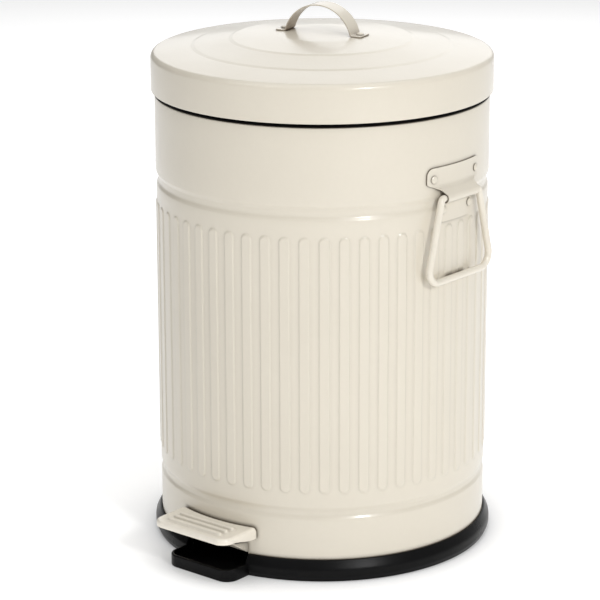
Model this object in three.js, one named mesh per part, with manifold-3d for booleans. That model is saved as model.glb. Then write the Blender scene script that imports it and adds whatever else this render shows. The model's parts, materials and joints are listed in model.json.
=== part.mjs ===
// Round step-on bin: ribbed steel body, domed lid, side bails, inner bucket and the pedal linkage
// that lifts the lid. Millimetres, +Z up, origin on the body's axis at floor level. The pedal is
// towards -Y, the lid's hinge towards +Y and the side bails towards +X and -X.
import * as THREE from "three";
import { mergeVertices } from "three/addons/utils/BufferGeometryUtils.js";
import Module from "manifold-3d";

const wasm = await Module();
wasm.setup();

// ---------------------------------------------------------------- driving dimensions
const SEAT = 0.3; // gap left between two separate pieces that touch
const PAST = 5; // how far a cutting shape runs past what it cuts
const SHEET = 0.8; // body and lid sheet
const STAMPING = 1.2; // brackets, arm, pedal and lever sheet

// Body shell
const BODY_R = 146; // outside radius above the upper bead
const BODY_TOP = 399.3; // height of the rolled top edge
const BODY_FOOT = 8; // height of the sheet's lower edge, down in the base's groove
const WAIST = 0.7; // how much smaller the radius is below the upper bead
const HEM = 3; // width and height of the rolled top edge
const BEAD_DEPTH = 1.8;
const UPPER_BEAD_DROP = 73.8; // bead centre below the top edge
const UPPER_BEAD_WIDTH = 14;
const LOWER_BEAD_HEIGHT = 60.5;
const LOWER_BEAD_WIDTH = 12.4;
const RIB_COUNT = 54;
const SIDES = RIB_COUNT; // facets round every turned piece, one to a rib
const RIB_RELIEF = 0.8;
const RIB_FOOT = 79.4; // height of the ribs' lower ends
const RIB_HEAD_DROP = 94.3; // ribs' upper ends below the top edge
const RIB_END = 2.6; // length over which a rib's end rises
const SEAM_HALF = 4; // half width of the lapped seam up the back
const SEAM_LIFT = 0.5;
const SEAM_END = 2; // seam's upper end below the hinge bracket

// Base
const BASE_H = 19;
const BASE_FLARE = 6; // how far the base's rim stands out from the body
const BASE_TUCK = 3.2; // how far its foot draws in under the rim
const BASE_WIDEST = [6, 10]; // heights between which the rim is at its widest
const BASE_SHOULDER = 3; // height of the rim's turn in towards the body
const BASE_LAND = 0.8; // level width beside the body
const BASE_FLOOR = 2;
const GROOVE_GAP = 0.4; // play of the body's edge in the base's groove
const GROOVE_LIP_H = 12; // height of the groove's inner lip
const GROOVE_LIP = 2.2; // thickness of the inner lip
const TRAY_REACH = 25.5; // how far the toe tray stands out from the body
const TRAY_HALF = 36.5;
const TRAY_H = 11;
const TRAY_WALL = 2.2;
const TRAY_CORNER = 12;
const TRAY_DEPTH = 18; // how far the tray's recess runs in behind the body's wall

// Rim ring, on the body's top edge
const RIM_T = 2.6;
const RIM_LIP = 1; // overhang beyond the body
const RIM_SKIRT_H = 11;
const RIM_SKIRT_T = 2;

// Inner bucket, hung from the rim ring
const BUCKET_PLAY = 15.1; // room between the body's outside and the bucket, where the rod runs
const BUCKET_FLANGE = 2.5;
const BUCKET_FLANGE_T = 1.8;
const BUCKET_WALL = 1.8;
const BUCKET_FLOOR_Z = 50;
const BUCKET_TAPER = 6;
const BUCKET_CORNER = 10;
const BUCKET_BAIL_R = 1.5;
const BUCKET_BAIL_DROP = 7; // bail pivots below the bucket's flange

// Lid
const LID_OVERHANG = 3; // lid's outside beyond the body's
const LID_SKIRT = 32.5;
const LID_SHOULDER = 5.3;
const LID_HEM = 0.8; // how far the skirt's lower edge curls in
const LID_CROWN_H = 15.4; // crown above the shoulder
const CROWN_FLAT_R = 45;
const OUTER_STEP = [32, 35.5, 5.6, 7.2]; // insets from the lid's edge, then heights above the shoulder
const INNER_STEP = [65.5, 69, 12, 13.6];

// Lid handle strap
const STRAP_WIDTH = 18.2;
const STRAP_SPAN = 64;
const STRAP_FOOT = 9.3;
const STRAP_RISE = 24.6;
const STRAP_TURN = 12.5; // degrees from the hinge's line

// Hinge and linkage
const HINGE_OUT = 4.8; // pin outside the body
const HINGE_DROP = 3.3; // pin below the body's top edge
const HINGE_PIN_R = 2;
const EAR_R = 4.5;
const EAR_X = 17.5; // outer face of each ear
const BRACKET_HALF = 23;
const BRACKET_H = 16;
const BRACKET_DROP = 20; // bracket's upper edge below the body's top edge
const NOTCH_HALF = 14; // rear notch in body and rim ring
const ARM_HALF = 8.2; // outer faces of the lid arm's cheeks
const ARM_BOSS = 3.6; // half width of a cheek round its holes
const ARM_REACH = 24; // how far the arm's flange runs in from the lid's edge
const ARM_NOSE = 3; // height of a cheek at the flange's front end
const ARM_THROAT = 10; // height above the lid's foot where a cheek narrows
const LID_OPEN = 80; // degrees
const PEDAL_TRAVEL = 6.5; // degrees
const ROD_R = 1.75;
const ROD_BEND = 3.5;
const ROD_JOG = 8; // the rod's foot stands this much further in
const CLIP_R = 3.6;
const CLIP_T = 1.2;
const PIN_END = 1; // pins stand out of their ears by this much
const PIN_HEAD = 1.4; // width and height of a pin's head beyond its shank
const HOOK_END = 2.2; // rod beyond its clip
const ROD_SWEEP = 12; // bends at the rod's jog
const ROD_STRAIGHT = 8; // straight run above the rod's foot

// Pedal lever and pad
const PIVOT_Y = -20;
const PIVOT_Z = 15.5;
const PIVOT_R = 2.5;
const PIVOT_EAR_T = 3;
const PIVOT_EAR_HALF = 8;
const PIVOT_PLAY = 1; // lever's cheek to the ear beside it
const LEVER_HALF = 11.7;
const LEVER_NECK_HALF = 33;
const LEVER_FLOOR_Z = 9.5;
const LEVER_H = 11.5; // height of the channel behind the neck
const LEVER_TAIL = 8; // lever beyond the rod's foot
const LEVER_TIP = 8.5; // lever's tip behind the pad's front edge
const LEVER_LAND = 1.7; // level length of the tip, under the pad
const NECK_PLAY = 1.5; // neck and pad to the opening in the wall
const NECK_Z = 20.5; // underside of the neck where it passes the wall
const NECK_H = 10; // height of its cheeks there
const NECK_LIFT = 2; // rise of the cheeks from there out to NECK_OUT
const NECK_OUT = 15;
const NECK_FALL = [23, 2.5]; // length behind the wall, and how much lower the underside is there
const NECK_BACK = 33; // where the cheeks start down to the channel's height
const NECK_TAPER = [5, 60]; // lengths behind the wall over which the plan narrows
const CHANNEL_AT = 83; // length behind the wall where the channel has its own height
const CHANNEL_LIFT = 2.5; // channel's underside there above its lowest
const CHANNEL_LEVEL = 10; // channel is level from this far in front of the pivot
const SLOT_HALF = 5.5;
const SLOT_R = 2.45;
const SLOT_LEAD = 1.4; // slot's middle in front of the rod's foot, as the foot moves on an arc
const PAD_Z = 44.5;
const PAD_HALF = 42;
const PAD_REACH = 37; // front edge beyond the body
const PAD_CORNER = 11;
const PAD_EDGE = 2.3; // rounding along the pad's edges
const PAD_SKIRT = 5.4;
const PAD_SKIRT_REAR = 10;
const PAD_PLAY = 1; // pad's rear edge to the body
const PAD_TURN = 12; // behind the front edge, the skirt starts to deepen towards the wall
const PAD_RIDGES = 3;
const RIDGE_PITCH = 8;
const RIDGE_FRONT = 12.9; // front ridge behind the pad's front edge
const RIDGE_HALF = 30;
const RIDGE_W = 6;
const RIDGE_LIFT = 0.8;
const RIDGE_ROOT = 0.4; // depth of a ridge's foot in the pad's sheet

// Side bails and their brackets
const BAIL_WIRE_R = 3;
const BAIL_DROP = 68.3; // bail's axis below the body's top edge
const BAIL_TOP_HALF = 26;
const BAIL_LOW_HALF = 45.5;
const BAIL_LENGTH = 72;
const BAIL_BEND_TOP = 4;
const BAIL_BEND_LOW = 12;
const BAIL_SPLIT = 2; // gap between the wire's ends, inside the roll
const ROLL_HALF = 21.5;
const ROLL_PLAY = 0.4;
const PLATE_T = 1;
const PLATE_HALF = 36;
const PLATE_RISE = 26; // upper plate's top above the bail's axis
const PLATE_LOW = 8.5; // upper plate's lower edge above the axis
const ROLL_FLARE = 2; // how far up the plate the roll's flare reaches beyond that
const TAB_HALF = 21.5;
const TAB_DROP = 22; // lower plate's edge below the axis
const PLATE_CORNER = 6;
const RIVET_UP = [28.4, 16.3]; // half spacing and height above the bail's axis
const RIVET_LOW = [17.5, -11.4];
const RIVET_R = 1.7;
const RIVET_HEAD_R = 3.4;
const RIVET_HEAD_H = 1.6;
const RIVET_TAIL = 1; // width and height of the closed tail beyond the shank

// ---------------------------------------------------------------- sizes that follow
const rad = THREE.MathUtils.degToRad;
const LOWER_R = BODY_R - WAIST;
const RIM_Z = BODY_TOP + SEAT;
const LID_Z = RIM_Z + RIM_T + SEAT;
const LID_R = BODY_R + LID_OVERHANG;
const SHOULDER_Z = LID_Z + LID_SKIRT;
const CROWN_Z = SHOULDER_Z + LID_CROWN_H;
const BUCKET_R = BODY_R - BUCKET_PLAY;
const BUCKET_TOP = LID_Z + BUCKET_FLANGE_T;
const HINGE = { y: BODY_R + HINGE_OUT, z: BODY_TOP - HINGE_DROP };
const HALF_OPEN = rad(LID_OPEN / 2);
const TRAVEL = Math.sin(rad(PEDAL_TRAVEL));
// crank radius at which the rod's lift is the same at the lid arm and at the lever's tail
const LEVER_ARM = HINGE.y - ROD_JOG - PIVOT_Y;
const CRANK = (LEVER_ARM * TRAVEL) / (2 * Math.sin(HALF_OPEN) + Math.cos(HALF_OPEN) * TRAVEL);
const CRANK_PIN = { y: HINGE.y - CRANK * Math.cos(HALF_OPEN), z: HINGE.z - CRANK * Math.sin(HALF_OPEN) };
const FOOT_Y = CRANK_PIN.y - ROD_JOG;
const FOOT_Z = LEVER_FLOOR_Z + LEVER_H / 2;
const BAIL_Z = BODY_TOP - BAIL_DROP;
const ROLL_R = BAIL_WIRE_R + ROLL_PLAY + PLATE_T;
const PLATE_R = BODY_R + SEAT;
const BAIL_X = PLATE_R + ROLL_R;
const PAD_FRONT = -(BODY_R + PAD_REACH);
const PAD_UNDER = PAD_Z - STAMPING;
const TRAY_FRONT = -(BODY_R + TRAY_REACH);
const WALL_Y = -(BODY_R - 3); // where the lever's neck passes the front wall
const TAIL_Y = FOOT_Y + LEVER_TAIL;

// ---------------------------------------------------------------- finishes
function finish(color, roughness, metalness) {
  return new THREE.MeshStandardMaterial({ color, roughness, metalness });
}

const CREAM = finish(0xe6dfcf, 0.38, 0.0);
const BLACK = finish(0x17171a, 0.5, 0.0);
const BUCKET_GREY = finish(0x35373a, 0.6, 0.0);
const ZINC = finish(0xa9abab, 0.35, 0.9);

// ---------------------------------------------------------------- solids
/** A closed three.js geometry as a solid that can be cut and joined. */
function solid(geometry) {
  geometry.deleteAttribute("normal");
  geometry.deleteAttribute("uv");
  const merged = mergeVertices(geometry);
  const corners = merged.index.array;
  const faces = [];
  for (let i = 0; i < corners.length; i += 3) {
    const [a, b, c] = corners.slice(i, i + 3);
    if (a !== b && b !== c && c !== a) faces.push(a, b, c);
  }
  const vertProperties = merged.attributes.position.array;
  return new wasm.Manifold(new wasm.Mesh({ numProp: 3, vertProperties, triVerts: new Uint32Array(faces) }));
}

/** A solid's surface as a three.js geometry. */
function surface(body) {
  const { vertProperties, triVerts } = body.getMesh();
  const geometry = new THREE.BufferGeometry();
  geometry.setAttribute("position", new THREE.BufferAttribute(vertProperties, 3));
  geometry.setIndex(new THREE.BufferAttribute(triVerts, 1));
  geometry.computeVertexNormals();
  return geometry;
}

const join = (first, ...rest) => rest.reduce((body, next) => body.add(next), first);
const cut = (first, ...rest) => rest.reduce((body, next) => body.subtract(next), first);

const point = (x, y, z) => new THREE.Vector3(x, y, z);
const outline = (points) => new THREE.Shape(points.map(([x, y]) => new THREE.Vector2(x, y)));
const rectangle = (x0, y0, x1, y1) => outline([[x0, y0], [x1, y0], [x1, y1], [x0, y1]]);

/** Profile of [radius, height] points turned about the Z axis, with a facet's middle facing -Y. */
function turned(profile, sides = SIDES) {
  const points = profile.map(([r, z]) => new THREE.Vector2(r, z));
  const closed = profile[0][0] === 0 ? points : [...points, points[0].clone()];
  return new THREE.LatheGeometry(closed, sides, -Math.PI / sides).rotateX(Math.PI / 2);
}

/** A plan outline pulled up from z0 to z1. */
function pulledUp(shape, z0, z1, curveSegments = 5) {
  const options = { depth: z1 - z0, bevelEnabled: false, curveSegments };
  return solid(new THREE.ExtrudeGeometry(shape, options).translate(0, 0, z0));
}

/** A side view in (y, z) pulled across from x0 to x1. */
function pulledAcross(shape, x0, x1, curveSegments = 5) {
  const options = { depth: x1 - x0, bevelEnabled: false, curveSegments };
  const sideways = new THREE.Matrix4().makeBasis(point(0, 1, 0), point(0, 0, 1), point(1, 0, 0));
  return solid(new THREE.ExtrudeGeometry(shape, options).translate(0, 0, x0).applyMatrix4(sideways));
}

/** A front view in (x, z) pulled back from y0 to y1. */
function pulledBack(shape, y0, y1, curveSegments = 5) {
  const options = { depth: y1 - y0, bevelEnabled: false, curveSegments };
  return solid(new THREE.ExtrudeGeometry(shape, options).rotateX(Math.PI / 2).translate(0, y1, 0));
}

/** A round bar between two points. */
function bar(from, to, radius, sides = 12) {
  const axis = to.clone().sub(from);
  const turn = new THREE.Quaternion().setFromUnitVectors(point(0, 1, 0), axis.clone().normalize());
  const middle = from.clone().add(to).multiplyScalar(0.5);
  const geometry = new THREE.CylinderGeometry(radius, radius, axis.length(), sides);
  return solid(geometry.applyQuaternion(turn).translate(middle.x, middle.y, middle.z));
}

const barX = (x0, x1, y, z, radius, sides) => bar(point(x0, y, z), point(x1, y, z), radius, sides);

/** A ring of plate between two radii and two heights. */
const ringPlate = (r0, r1, z0, z1) => solid(turned([[r0, z0], [r1, z0], [r1, z1], [r0, z1]]));

const drum = (r, z0, z1) => solid(turned([[0, z0], [r, z0], [r, z1], [0, z1]]));

/** A rectangle with rounded corners, as a shape. */
function roundedBox(x0, y0, x1, y1, r) {
  const shape = new THREE.Shape();
  shape.absarc(x1 - r, y0 + r, r, -Math.PI / 2, 0);
  shape.absarc(x1 - r, y1 - r, r, 0, Math.PI / 2);
  shape.absarc(x0 + r, y1 - r, r, Math.PI / 2, Math.PI);
  shape.absarc(x0 + r, y0 + r, r, Math.PI, 1.5 * Math.PI);
  return shape;
}

/** A flat wire path: straight runs with every inner corner rounded to its own bend. */
class WirePath extends THREE.Curve {
  constructor(corners, bends, normal, bendStep = rad(22)) {
    super();
    this.normal = normal;
    this.stations = [];
    corners.forEach((corner, i) => {
      const before = corners[i - 1];
      const after = corners[i + 1];
      if (!before) this.mark(corner, after.clone().sub(corner));
      else if (!after) this.mark(corner, corner.clone().sub(before));
      else this.round(before, corner, after, bends[i - 1], bendStep);
    });
  }

  mark(place, direction) {
    this.stations.push({ place, direction: direction.clone().normalize() });
  }

  round(before, corner, after, bend, bendStep) {
    const into = corner.clone().sub(before).normalize();
    const away = after.clone().sub(corner).normalize();
    const angle = into.angleTo(away);
    const side = Math.sign(new THREE.Vector3().crossVectors(into, away).dot(this.normal));
    const start = corner.clone().addScaledVector(into, -bend * Math.tan(angle / 2));
    const inward = new THREE.Vector3().crossVectors(this.normal, into).multiplyScalar(side);
    const centre = start.clone().addScaledVector(inward, bend);
    const steps = Math.max(2, Math.ceil(angle / bendStep));
    for (let i = 0; i <= steps; i += 1) {
      const turn = (side * angle * i) / steps;
      const place = start.clone().sub(centre).applyAxisAngle(this.normal, turn).add(centre);
      this.mark(place, into.clone().applyAxisAngle(this.normal, turn));
    }
  }

  getSpacedPoints() {
    return this.stations.map(({ place }) => place);
  }

  computeFrenetFrames() {
    const tangents = this.stations.map(({ direction }) => direction);
    const normals = tangents.map(() => this.normal);
    const binormals = tangents.map((t) => new THREE.Vector3().crossVectors(t, this.normal));
    return { tangents, normals, binormals };
  }
}

/** Round wire along a flat path of [x, y, z] corners. */
function wire(corners, bends, normal, radius, sides = 8) {
  const path = new WirePath(corners.map((corner) => point(...corner)), bends, point(...normal));
  const section = outline(
    Array.from({ length: sides }, (_, i) => {
      const a = (2 * Math.PI * (i + 0.5)) / sides;
      return [radius * Math.cos(a), radius * Math.sin(a)];
    }),
  );
  return new THREE.ExtrudeGeometry(section, { steps: path.stations.length - 1, extrudePath: path });
}

/** A round-headed rivet on the Z axis: its head seats at z = 0 and its tail closes behind the grip. */
function rivet(grip) {
  const tail = -(grip + 2 * SEAT);
  const profile = [
    [0, tail - RIVET_TAIL],
    [RIVET_R + RIVET_TAIL, tail],
    [RIVET_R, tail],
    [RIVET_R, 0],
    [RIVET_HEAD_R, 0],
    [RIVET_HEAD_R * 0.8, RIVET_HEAD_H * 0.6],
    [0, RIVET_HEAD_H],
  ];
  return turned(profile, 8);
}

// ---------------------------------------------------------------- body shell
/** Points of a rounded groove across the wall, from below to above. */
function bead(middle, width, below, above, points) {
  return Array.from({ length: points }, (_, i) => {
    const t = i / (points - 1);
    const wall = below + (above - below) * t;
    return [wall - BEAD_DEPTH * Math.sin(Math.PI * t) ** 1.4, middle + width * (t - 0.5)];
  });
}

const UPPER_BEAD_Z = BODY_TOP - UPPER_BEAD_DROP;
const RIB_HEAD = BODY_TOP - RIB_HEAD_DROP;

/** Outside of the body without its ribs: two beads as grooves round the wall. */
function plainOutside() {
  return solid(
    turned([
      [0, BODY_FOOT],
      [LOWER_R, BODY_FOOT],
      ...bead(LOWER_BEAD_HEIGHT, LOWER_BEAD_WIDTH, LOWER_R, LOWER_R, 4),
      ...bead(UPPER_BEAD_Z, UPPER_BEAD_WIDTH, LOWER_R, BODY_R, 4),
      [BODY_R, BODY_TOP - HEM / 3],
      [BODY_R - HEM / 3, BODY_TOP],
      [0, BODY_TOP],
    ]),
  );
}

/** The ribbed band: four columns to a rib, of which two are raised between the rib's sloping ends. */
function ribBand() {
  const heights = [RIB_FOOT, RIB_FOOT + RIB_END, RIB_HEAD - RIB_END, RIB_HEAD];
  const profile = [[0, RIB_FOOT], ...heights.map((z) => [LOWER_R, z]), [0, RIB_HEAD]];
  const geometry = turned(profile, 4 * RIB_COUNT);
  const position = geometry.attributes.position;
  const lift = 1 + RIB_RELIEF / LOWER_R;
  for (let i = 0; i < position.count; i += 1) {
    const column = Math.floor(i / profile.length);
    const row = i % profile.length;
    if (column % 4 > 1 || (row !== 2 && row !== 3)) continue;
    position.setXY(i, position.getX(i) * lift, position.getY(i) * lift);
  }
  return solid(geometry);
}

function bodyInside() {
  const lower = LOWER_R - SHEET;
  const upper = BODY_R - SHEET;
  return solid(
    turned([
      [0, BODY_FOOT - PAST],
      [lower, BODY_FOOT - PAST],
      ...bead(LOWER_BEAD_HEIGHT, LOWER_BEAD_WIDTH + 2 * SHEET, lower, lower, 3),
      ...bead(UPPER_BEAD_Z, UPPER_BEAD_WIDTH + 2 * SHEET, lower, upper, 3),
      [upper, BODY_TOP - HEM - SHEET],
      [BODY_R - HEM, BODY_TOP - HEM],
      [BODY_R - HEM, BODY_TOP + PAST],
      [0, BODY_TOP + PAST],
    ]),
  );
}

/** The opening the pedal's neck passes through, and the rear notch for the lid's arm. */
function bodyOpenings() {
  const half = LEVER_NECK_HALF + NECK_PLAY;
  const head = PAD_Z - PAD_SKIRT_REAR - NECK_PLAY;
  const front = rectangle(-half, BODY_FOOT - PAST, half, head);
  return [pulledBack(front, -BODY_R - PAST, -BODY_R / 2), rearNotch(BODY_TOP - BRACKET_DROP + SEAT)];
}

function rearNotch(floor) {
  return pulledBack(rectangle(-NOTCH_HALF, floor, NOTCH_HALF, LID_Z), BODY_R / 2, BODY_R + PAST);
}

function backSeam() {
  const top = BODY_TOP - BRACKET_DROP - BRACKET_H - SEAM_END;
  const strip = rectangle(-SEAM_HALF, BASE_H + SEAM_END / 2, SEAM_HALF, top);
  const lap = ringPlate(LOWER_R - SHEET / 2, BODY_R + SEAM_LIFT, BASE_H, top);
  return lap.intersect(pulledBack(strip, 0, BODY_R + PAST));
}

/** Rivet places of the side brackets, as [y, z]. */
const sideRivets = [RIVET_UP, RIVET_LOW].flatMap(([half, up]) => [[-half, BAIL_Z + up], [half, BAIL_Z + up]]);
/** Rivet places of the hinge bracket, as [x, z]. */
const HINGE_RIVET_Z = BODY_TOP - BRACKET_DROP - BRACKET_H / 2;
const hingeRivets = [[-EAR_X / 2, HINGE_RIVET_Z], [EAR_X / 2, HINGE_RIVET_Z]];

function rivetHoles() {
  const r = RIVET_R + SEAT;
  const toward = (x, y, z) => {
    const flat = point(x, y, 0).normalize();
    const at = (distance) => flat.clone().multiplyScalar(distance).setZ(z);
    return bar(at(BODY_R - 2 * PAST), at(BODY_R + 2 * PAST), r, 8);
  };
  const across = (y) => Math.sqrt(BODY_R ** 2 - y ** 2);
  const sides = sideRivets.flatMap(([y, z]) => [toward(across(y), y, z), toward(-across(y), y, z)]);
  const rear = hingeRivets.map(([x, z]) => toward(x, across(x), z));
  return [...sides, ...rear];
}

function bodyShell() {
  const sheet = cut(join(plainOutside(), ribBand()), bodyInside());
  return surface(cut(join(sheet, backSeam()), ...bodyOpenings(), ...rivetHoles()));
}

// ---------------------------------------------------------------- base
const EAR_OUTSIDE = LEVER_HALF + PIVOT_PLAY + PIVOT_EAR_T;

/** Plan of the toe tray, inset by a wall; its back runs into the base. */
function trayPlan(inset, back) {
  const half = TRAY_HALF - inset;
  const front = TRAY_FRONT + inset;
  const r = TRAY_CORNER - inset;
  const shape = new THREE.Shape();
  shape.absarc(-half + r, front + r, r, Math.PI, 1.5 * Math.PI);
  shape.absarc(half - r, front + r, r, 1.5 * Math.PI, 2 * Math.PI);
  shape.lineTo(half, back);
  shape.lineTo(-half, back);
  return shape;
}

function basePan() {
  const face = LOWER_R + GROOVE_GAP;
  const lip = LOWER_R - SHEET - GROOVE_GAP;
  const foot = BODY_FOOT - GROOVE_GAP;
  const rim = LOWER_R + BASE_FLARE;
  const [widestLow, widestHigh] = BASE_WIDEST;
  const ring = solid(
    turned([
      [0, 0],
      [rim - BASE_TUCK, 0],
      [rim - BASE_TUCK / 2, BASE_TUCK / 2],
      [rim, widestLow],
      [rim, widestHigh],
      [rim - BASE_SHOULDER * 0.6, BASE_H - BASE_SHOULDER],
      [face + BASE_LAND, BASE_H],
      [face, BASE_H],
      [face, foot],
      [lip, foot],
      [lip, GROOVE_LIP_H],
      [lip - GROOVE_LIP, GROOVE_LIP_H],
      [lip - GROOVE_LIP, BASE_FLOOR],
      [0, BASE_FLOOR],
    ]),
  );
  const tray = pulledUp(trayPlan(0, -lip), 0, TRAY_H);
  const recess = pulledUp(trayPlan(TRAY_WALL, TRAY_DEPTH - BODY_R), BASE_FLOOR, BASE_H + PAST);
  return surface(join(cut(join(ring, tray), recess), ...pivotEars()));
}

/** Two ears on the base's floor that carry the pedal's pivot pin. */
function pivotEars() {
  const top = PIVOT_Z + PIVOT_EAR_HALF - SHEET;
  const side = outline([
    [PIVOT_Y - PIVOT_EAR_HALF, BASE_FLOOR / 2],
    [PIVOT_Y + PIVOT_EAR_HALF, BASE_FLOOR / 2],
    [PIVOT_Y + PIVOT_EAR_HALF / 2, top],
    [PIVOT_Y - PIVOT_EAR_HALF / 2, top],
  ]);
  const hole = barX(-EAR_OUTSIDE - PAST, EAR_OUTSIDE + PAST, PIVOT_Y, PIVOT_Z, PIVOT_R + SEAT);
  const ear = (x) => cut(pulledAcross(side, x, x + PIVOT_EAR_T), hole);
  return [ear(-EAR_OUTSIDE), ear(EAR_OUTSIDE - PIVOT_EAR_T)];
}

/** A pin across the bin with a head at its +X end. */
function headedPin(end, { y, z }, radius) {
  const head = barX(end, end + PIN_HEAD, y, z, radius + PIN_HEAD);
  return surface(join(barX(-end, end, y, z, radius), head));
}

// ---------------------------------------------------------------- rim ring and inner bucket
function rimRing() {
  const outer = BODY_R + RIM_LIP;
  const inner = BUCKET_R + SEAT * 2;
  const skirt = BODY_R - HEM - SEAT;
  const ring = solid(
    turned([
      [inner, RIM_Z],
      [skirt - RIM_SKIRT_T, RIM_Z],
      [skirt - RIM_SKIRT_T, RIM_Z - RIM_SKIRT_H],
      [skirt, RIM_Z - RIM_SKIRT_H],
      [skirt, RIM_Z],
      [outer, RIM_Z],
      [outer, RIM_Z + RIM_T],
      [inner, RIM_Z + RIM_T],
    ]),
  );
  return surface(cut(ring, rearNotch(BODY_TOP - BRACKET_DROP)));
}

const BUCKET_BAIL_Z = BUCKET_TOP - BUCKET_FLANGE_T - BUCKET_BAIL_DROP;

function innerBucket() {
  const under = BUCKET_TOP - BUCKET_FLANGE_T;
  const low = BUCKET_R - BUCKET_TAPER;
  const c = BUCKET_CORNER;
  const w = BUCKET_WALL;
  const bucket = solid(
    turned([
      [0, BUCKET_FLOOR_Z],
      [low - c, BUCKET_FLOOR_Z],
      [low - c * 0.3, BUCKET_FLOOR_Z + c * 0.3],
      [low, BUCKET_FLOOR_Z + c],
      [BUCKET_R, under],
      [BUCKET_R + BUCKET_FLANGE, under],
      [BUCKET_R + BUCKET_FLANGE, BUCKET_TOP],
      [BUCKET_R - w, BUCKET_TOP],
      [low - w, BUCKET_FLOOR_Z + c],
      [low - w - c * 0.9, BUCKET_FLOOR_Z + w],
      [0, BUCKET_FLOOR_Z + w],
    ]),
  );
  return surface(cut(bucket, barX(-BODY_R, BODY_R, 0, BUCKET_BAIL_Z, BUCKET_BAIL_R + SEAT, 8)));
}

/** The bucket's own wire bail, folded down round the front half of its mouth. */
function bucketBail() {
  const bend = 2 * BUCKET_BAIL_R;
  const reach = BUCKET_R - BUCKET_WALL - BUCKET_BAIL_R - 2 * SEAT - bend / 2;
  const end = BUCKET_R + BUCKET_FLANGE;
  const z = BUCKET_BAIL_Z;
  const half = [[reach, -reach, z], [reach, 0, z], [end, 0, z]];
  const corners = [...half.map(([x, y]) => [-x, y, z]).reverse(), ...half];
  const bends = [bend, reach - bend, reach - bend, bend];
  return wire(corners, bends, [0, 0, 1], BUCKET_BAIL_R, 6);
}

// ---------------------------------------------------------------- lid
/** Points of the lid's shoulder at a radius about its bend. */
function shoulder(r) {
  return [0, 1, 2].map((i) => {
    const a = (Math.PI / 4) * i;
    return [LID_R - LID_SHOULDER + r * Math.cos(a), SHOULDER_Z - LID_SHOULDER + r * Math.sin(a)];
  });
}

/** Lid's outside, from the skirt's lower edge over its two soft steps to the axis. */
function lidOutside() {
  const step = ([near, far, low, high]) => [
    [LID_R - near, SHOULDER_Z + low],
    [LID_R - far, SHOULDER_Z + high],
  ];
  const hem = [[LID_R - LID_HEM, LID_Z], [LID_R, LID_Z + 2 * LID_HEM]];
  const crown = [[CROWN_FLAT_R, CROWN_Z], [0, CROWN_Z]];
  return [...hem, ...shoulder(LID_SHOULDER), ...step(OUTER_STEP), ...step(INNER_STEP), ...crown];
}

/** Lid's inside, from the axis back to the skirt's lower edge. */
function lidInside() {
  const under = ([near, far, low, high]) => [LID_R - (near + far) / 2, SHOULDER_Z + (low + high) / 2 - SHEET];
  const crown = [[0, CROWN_Z - SHEET], [CROWN_FLAT_R, CROWN_Z - SHEET]];
  const bend = shoulder(LID_SHOULDER - SHEET).reverse();
  return [...crown, under(INNER_STEP), under(OUTER_STEP), ...bend, [LID_R - LID_HEM - SHEET, LID_Z]];
}

const strapRivetX = (STRAP_SPAN + STRAP_FOOT) / 2;

function lidShell() {
  const shell = solid(turned([...lidOutside(), ...lidInside()]));
  const turn = rad(STRAP_TURN);
  const holes = [-1, 1].map((side) => {
    const x = side * strapRivetX * Math.cos(turn);
    const y = side * strapRivetX * Math.sin(turn);
    return bar(point(x, y, CROWN_Z - PAST), point(x, y, CROWN_Z + PAST), RIVET_R + SEAT, 8);
  });
  return surface(cut(shell, ...holes));
}

/** The handle: one strip bent to two feet and an arch; local x along the strip, z = 0 under its feet. */
function lidStrap() {
  const half = STRAP_SPAN / 2;
  const foot = half + STRAP_FOOT;
  const outer = (half ** 2 + STRAP_RISE ** 2) / (2 * STRAP_RISE);
  const inner = outer - STAMPING;
  const centre = STAMPING + STRAP_RISE - outer;
  const lowOut = Math.asin((STAMPING - centre) / outer);
  const lowIn = Math.asin(-centre / inner);
  const shape = new THREE.Shape();
  shape.moveTo(foot, 0);
  shape.lineTo(foot, STAMPING);
  shape.absarc(0, centre, outer, lowOut, Math.PI - lowOut);
  shape.lineTo(-foot, STAMPING);
  shape.lineTo(-foot, 0);
  shape.absarc(0, centre, inner, Math.PI - lowIn, lowIn, true);
  const strip = pulledBack(shape, -STRAP_WIDTH / 2, STRAP_WIDTH / 2, 8);
  const holes = [-strapRivetX, strapRivetX].map((x) =>
    bar(point(x, 0, -PAST), point(x, 0, PAST), RIVET_R + SEAT, 8),
  );
  return surface(cut(strip, ...holes));
}

/** Height of the lid's underside at a radius out beyond the outer step. */
function lidUnderside(r) {
  const [near, , low] = OUTER_STEP;
  const from = LID_R - LID_SHOULDER;
  const share = (from - r) / (from - (LID_R - near));
  return SHOULDER_Z - SHEET + low * share;
}

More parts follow.
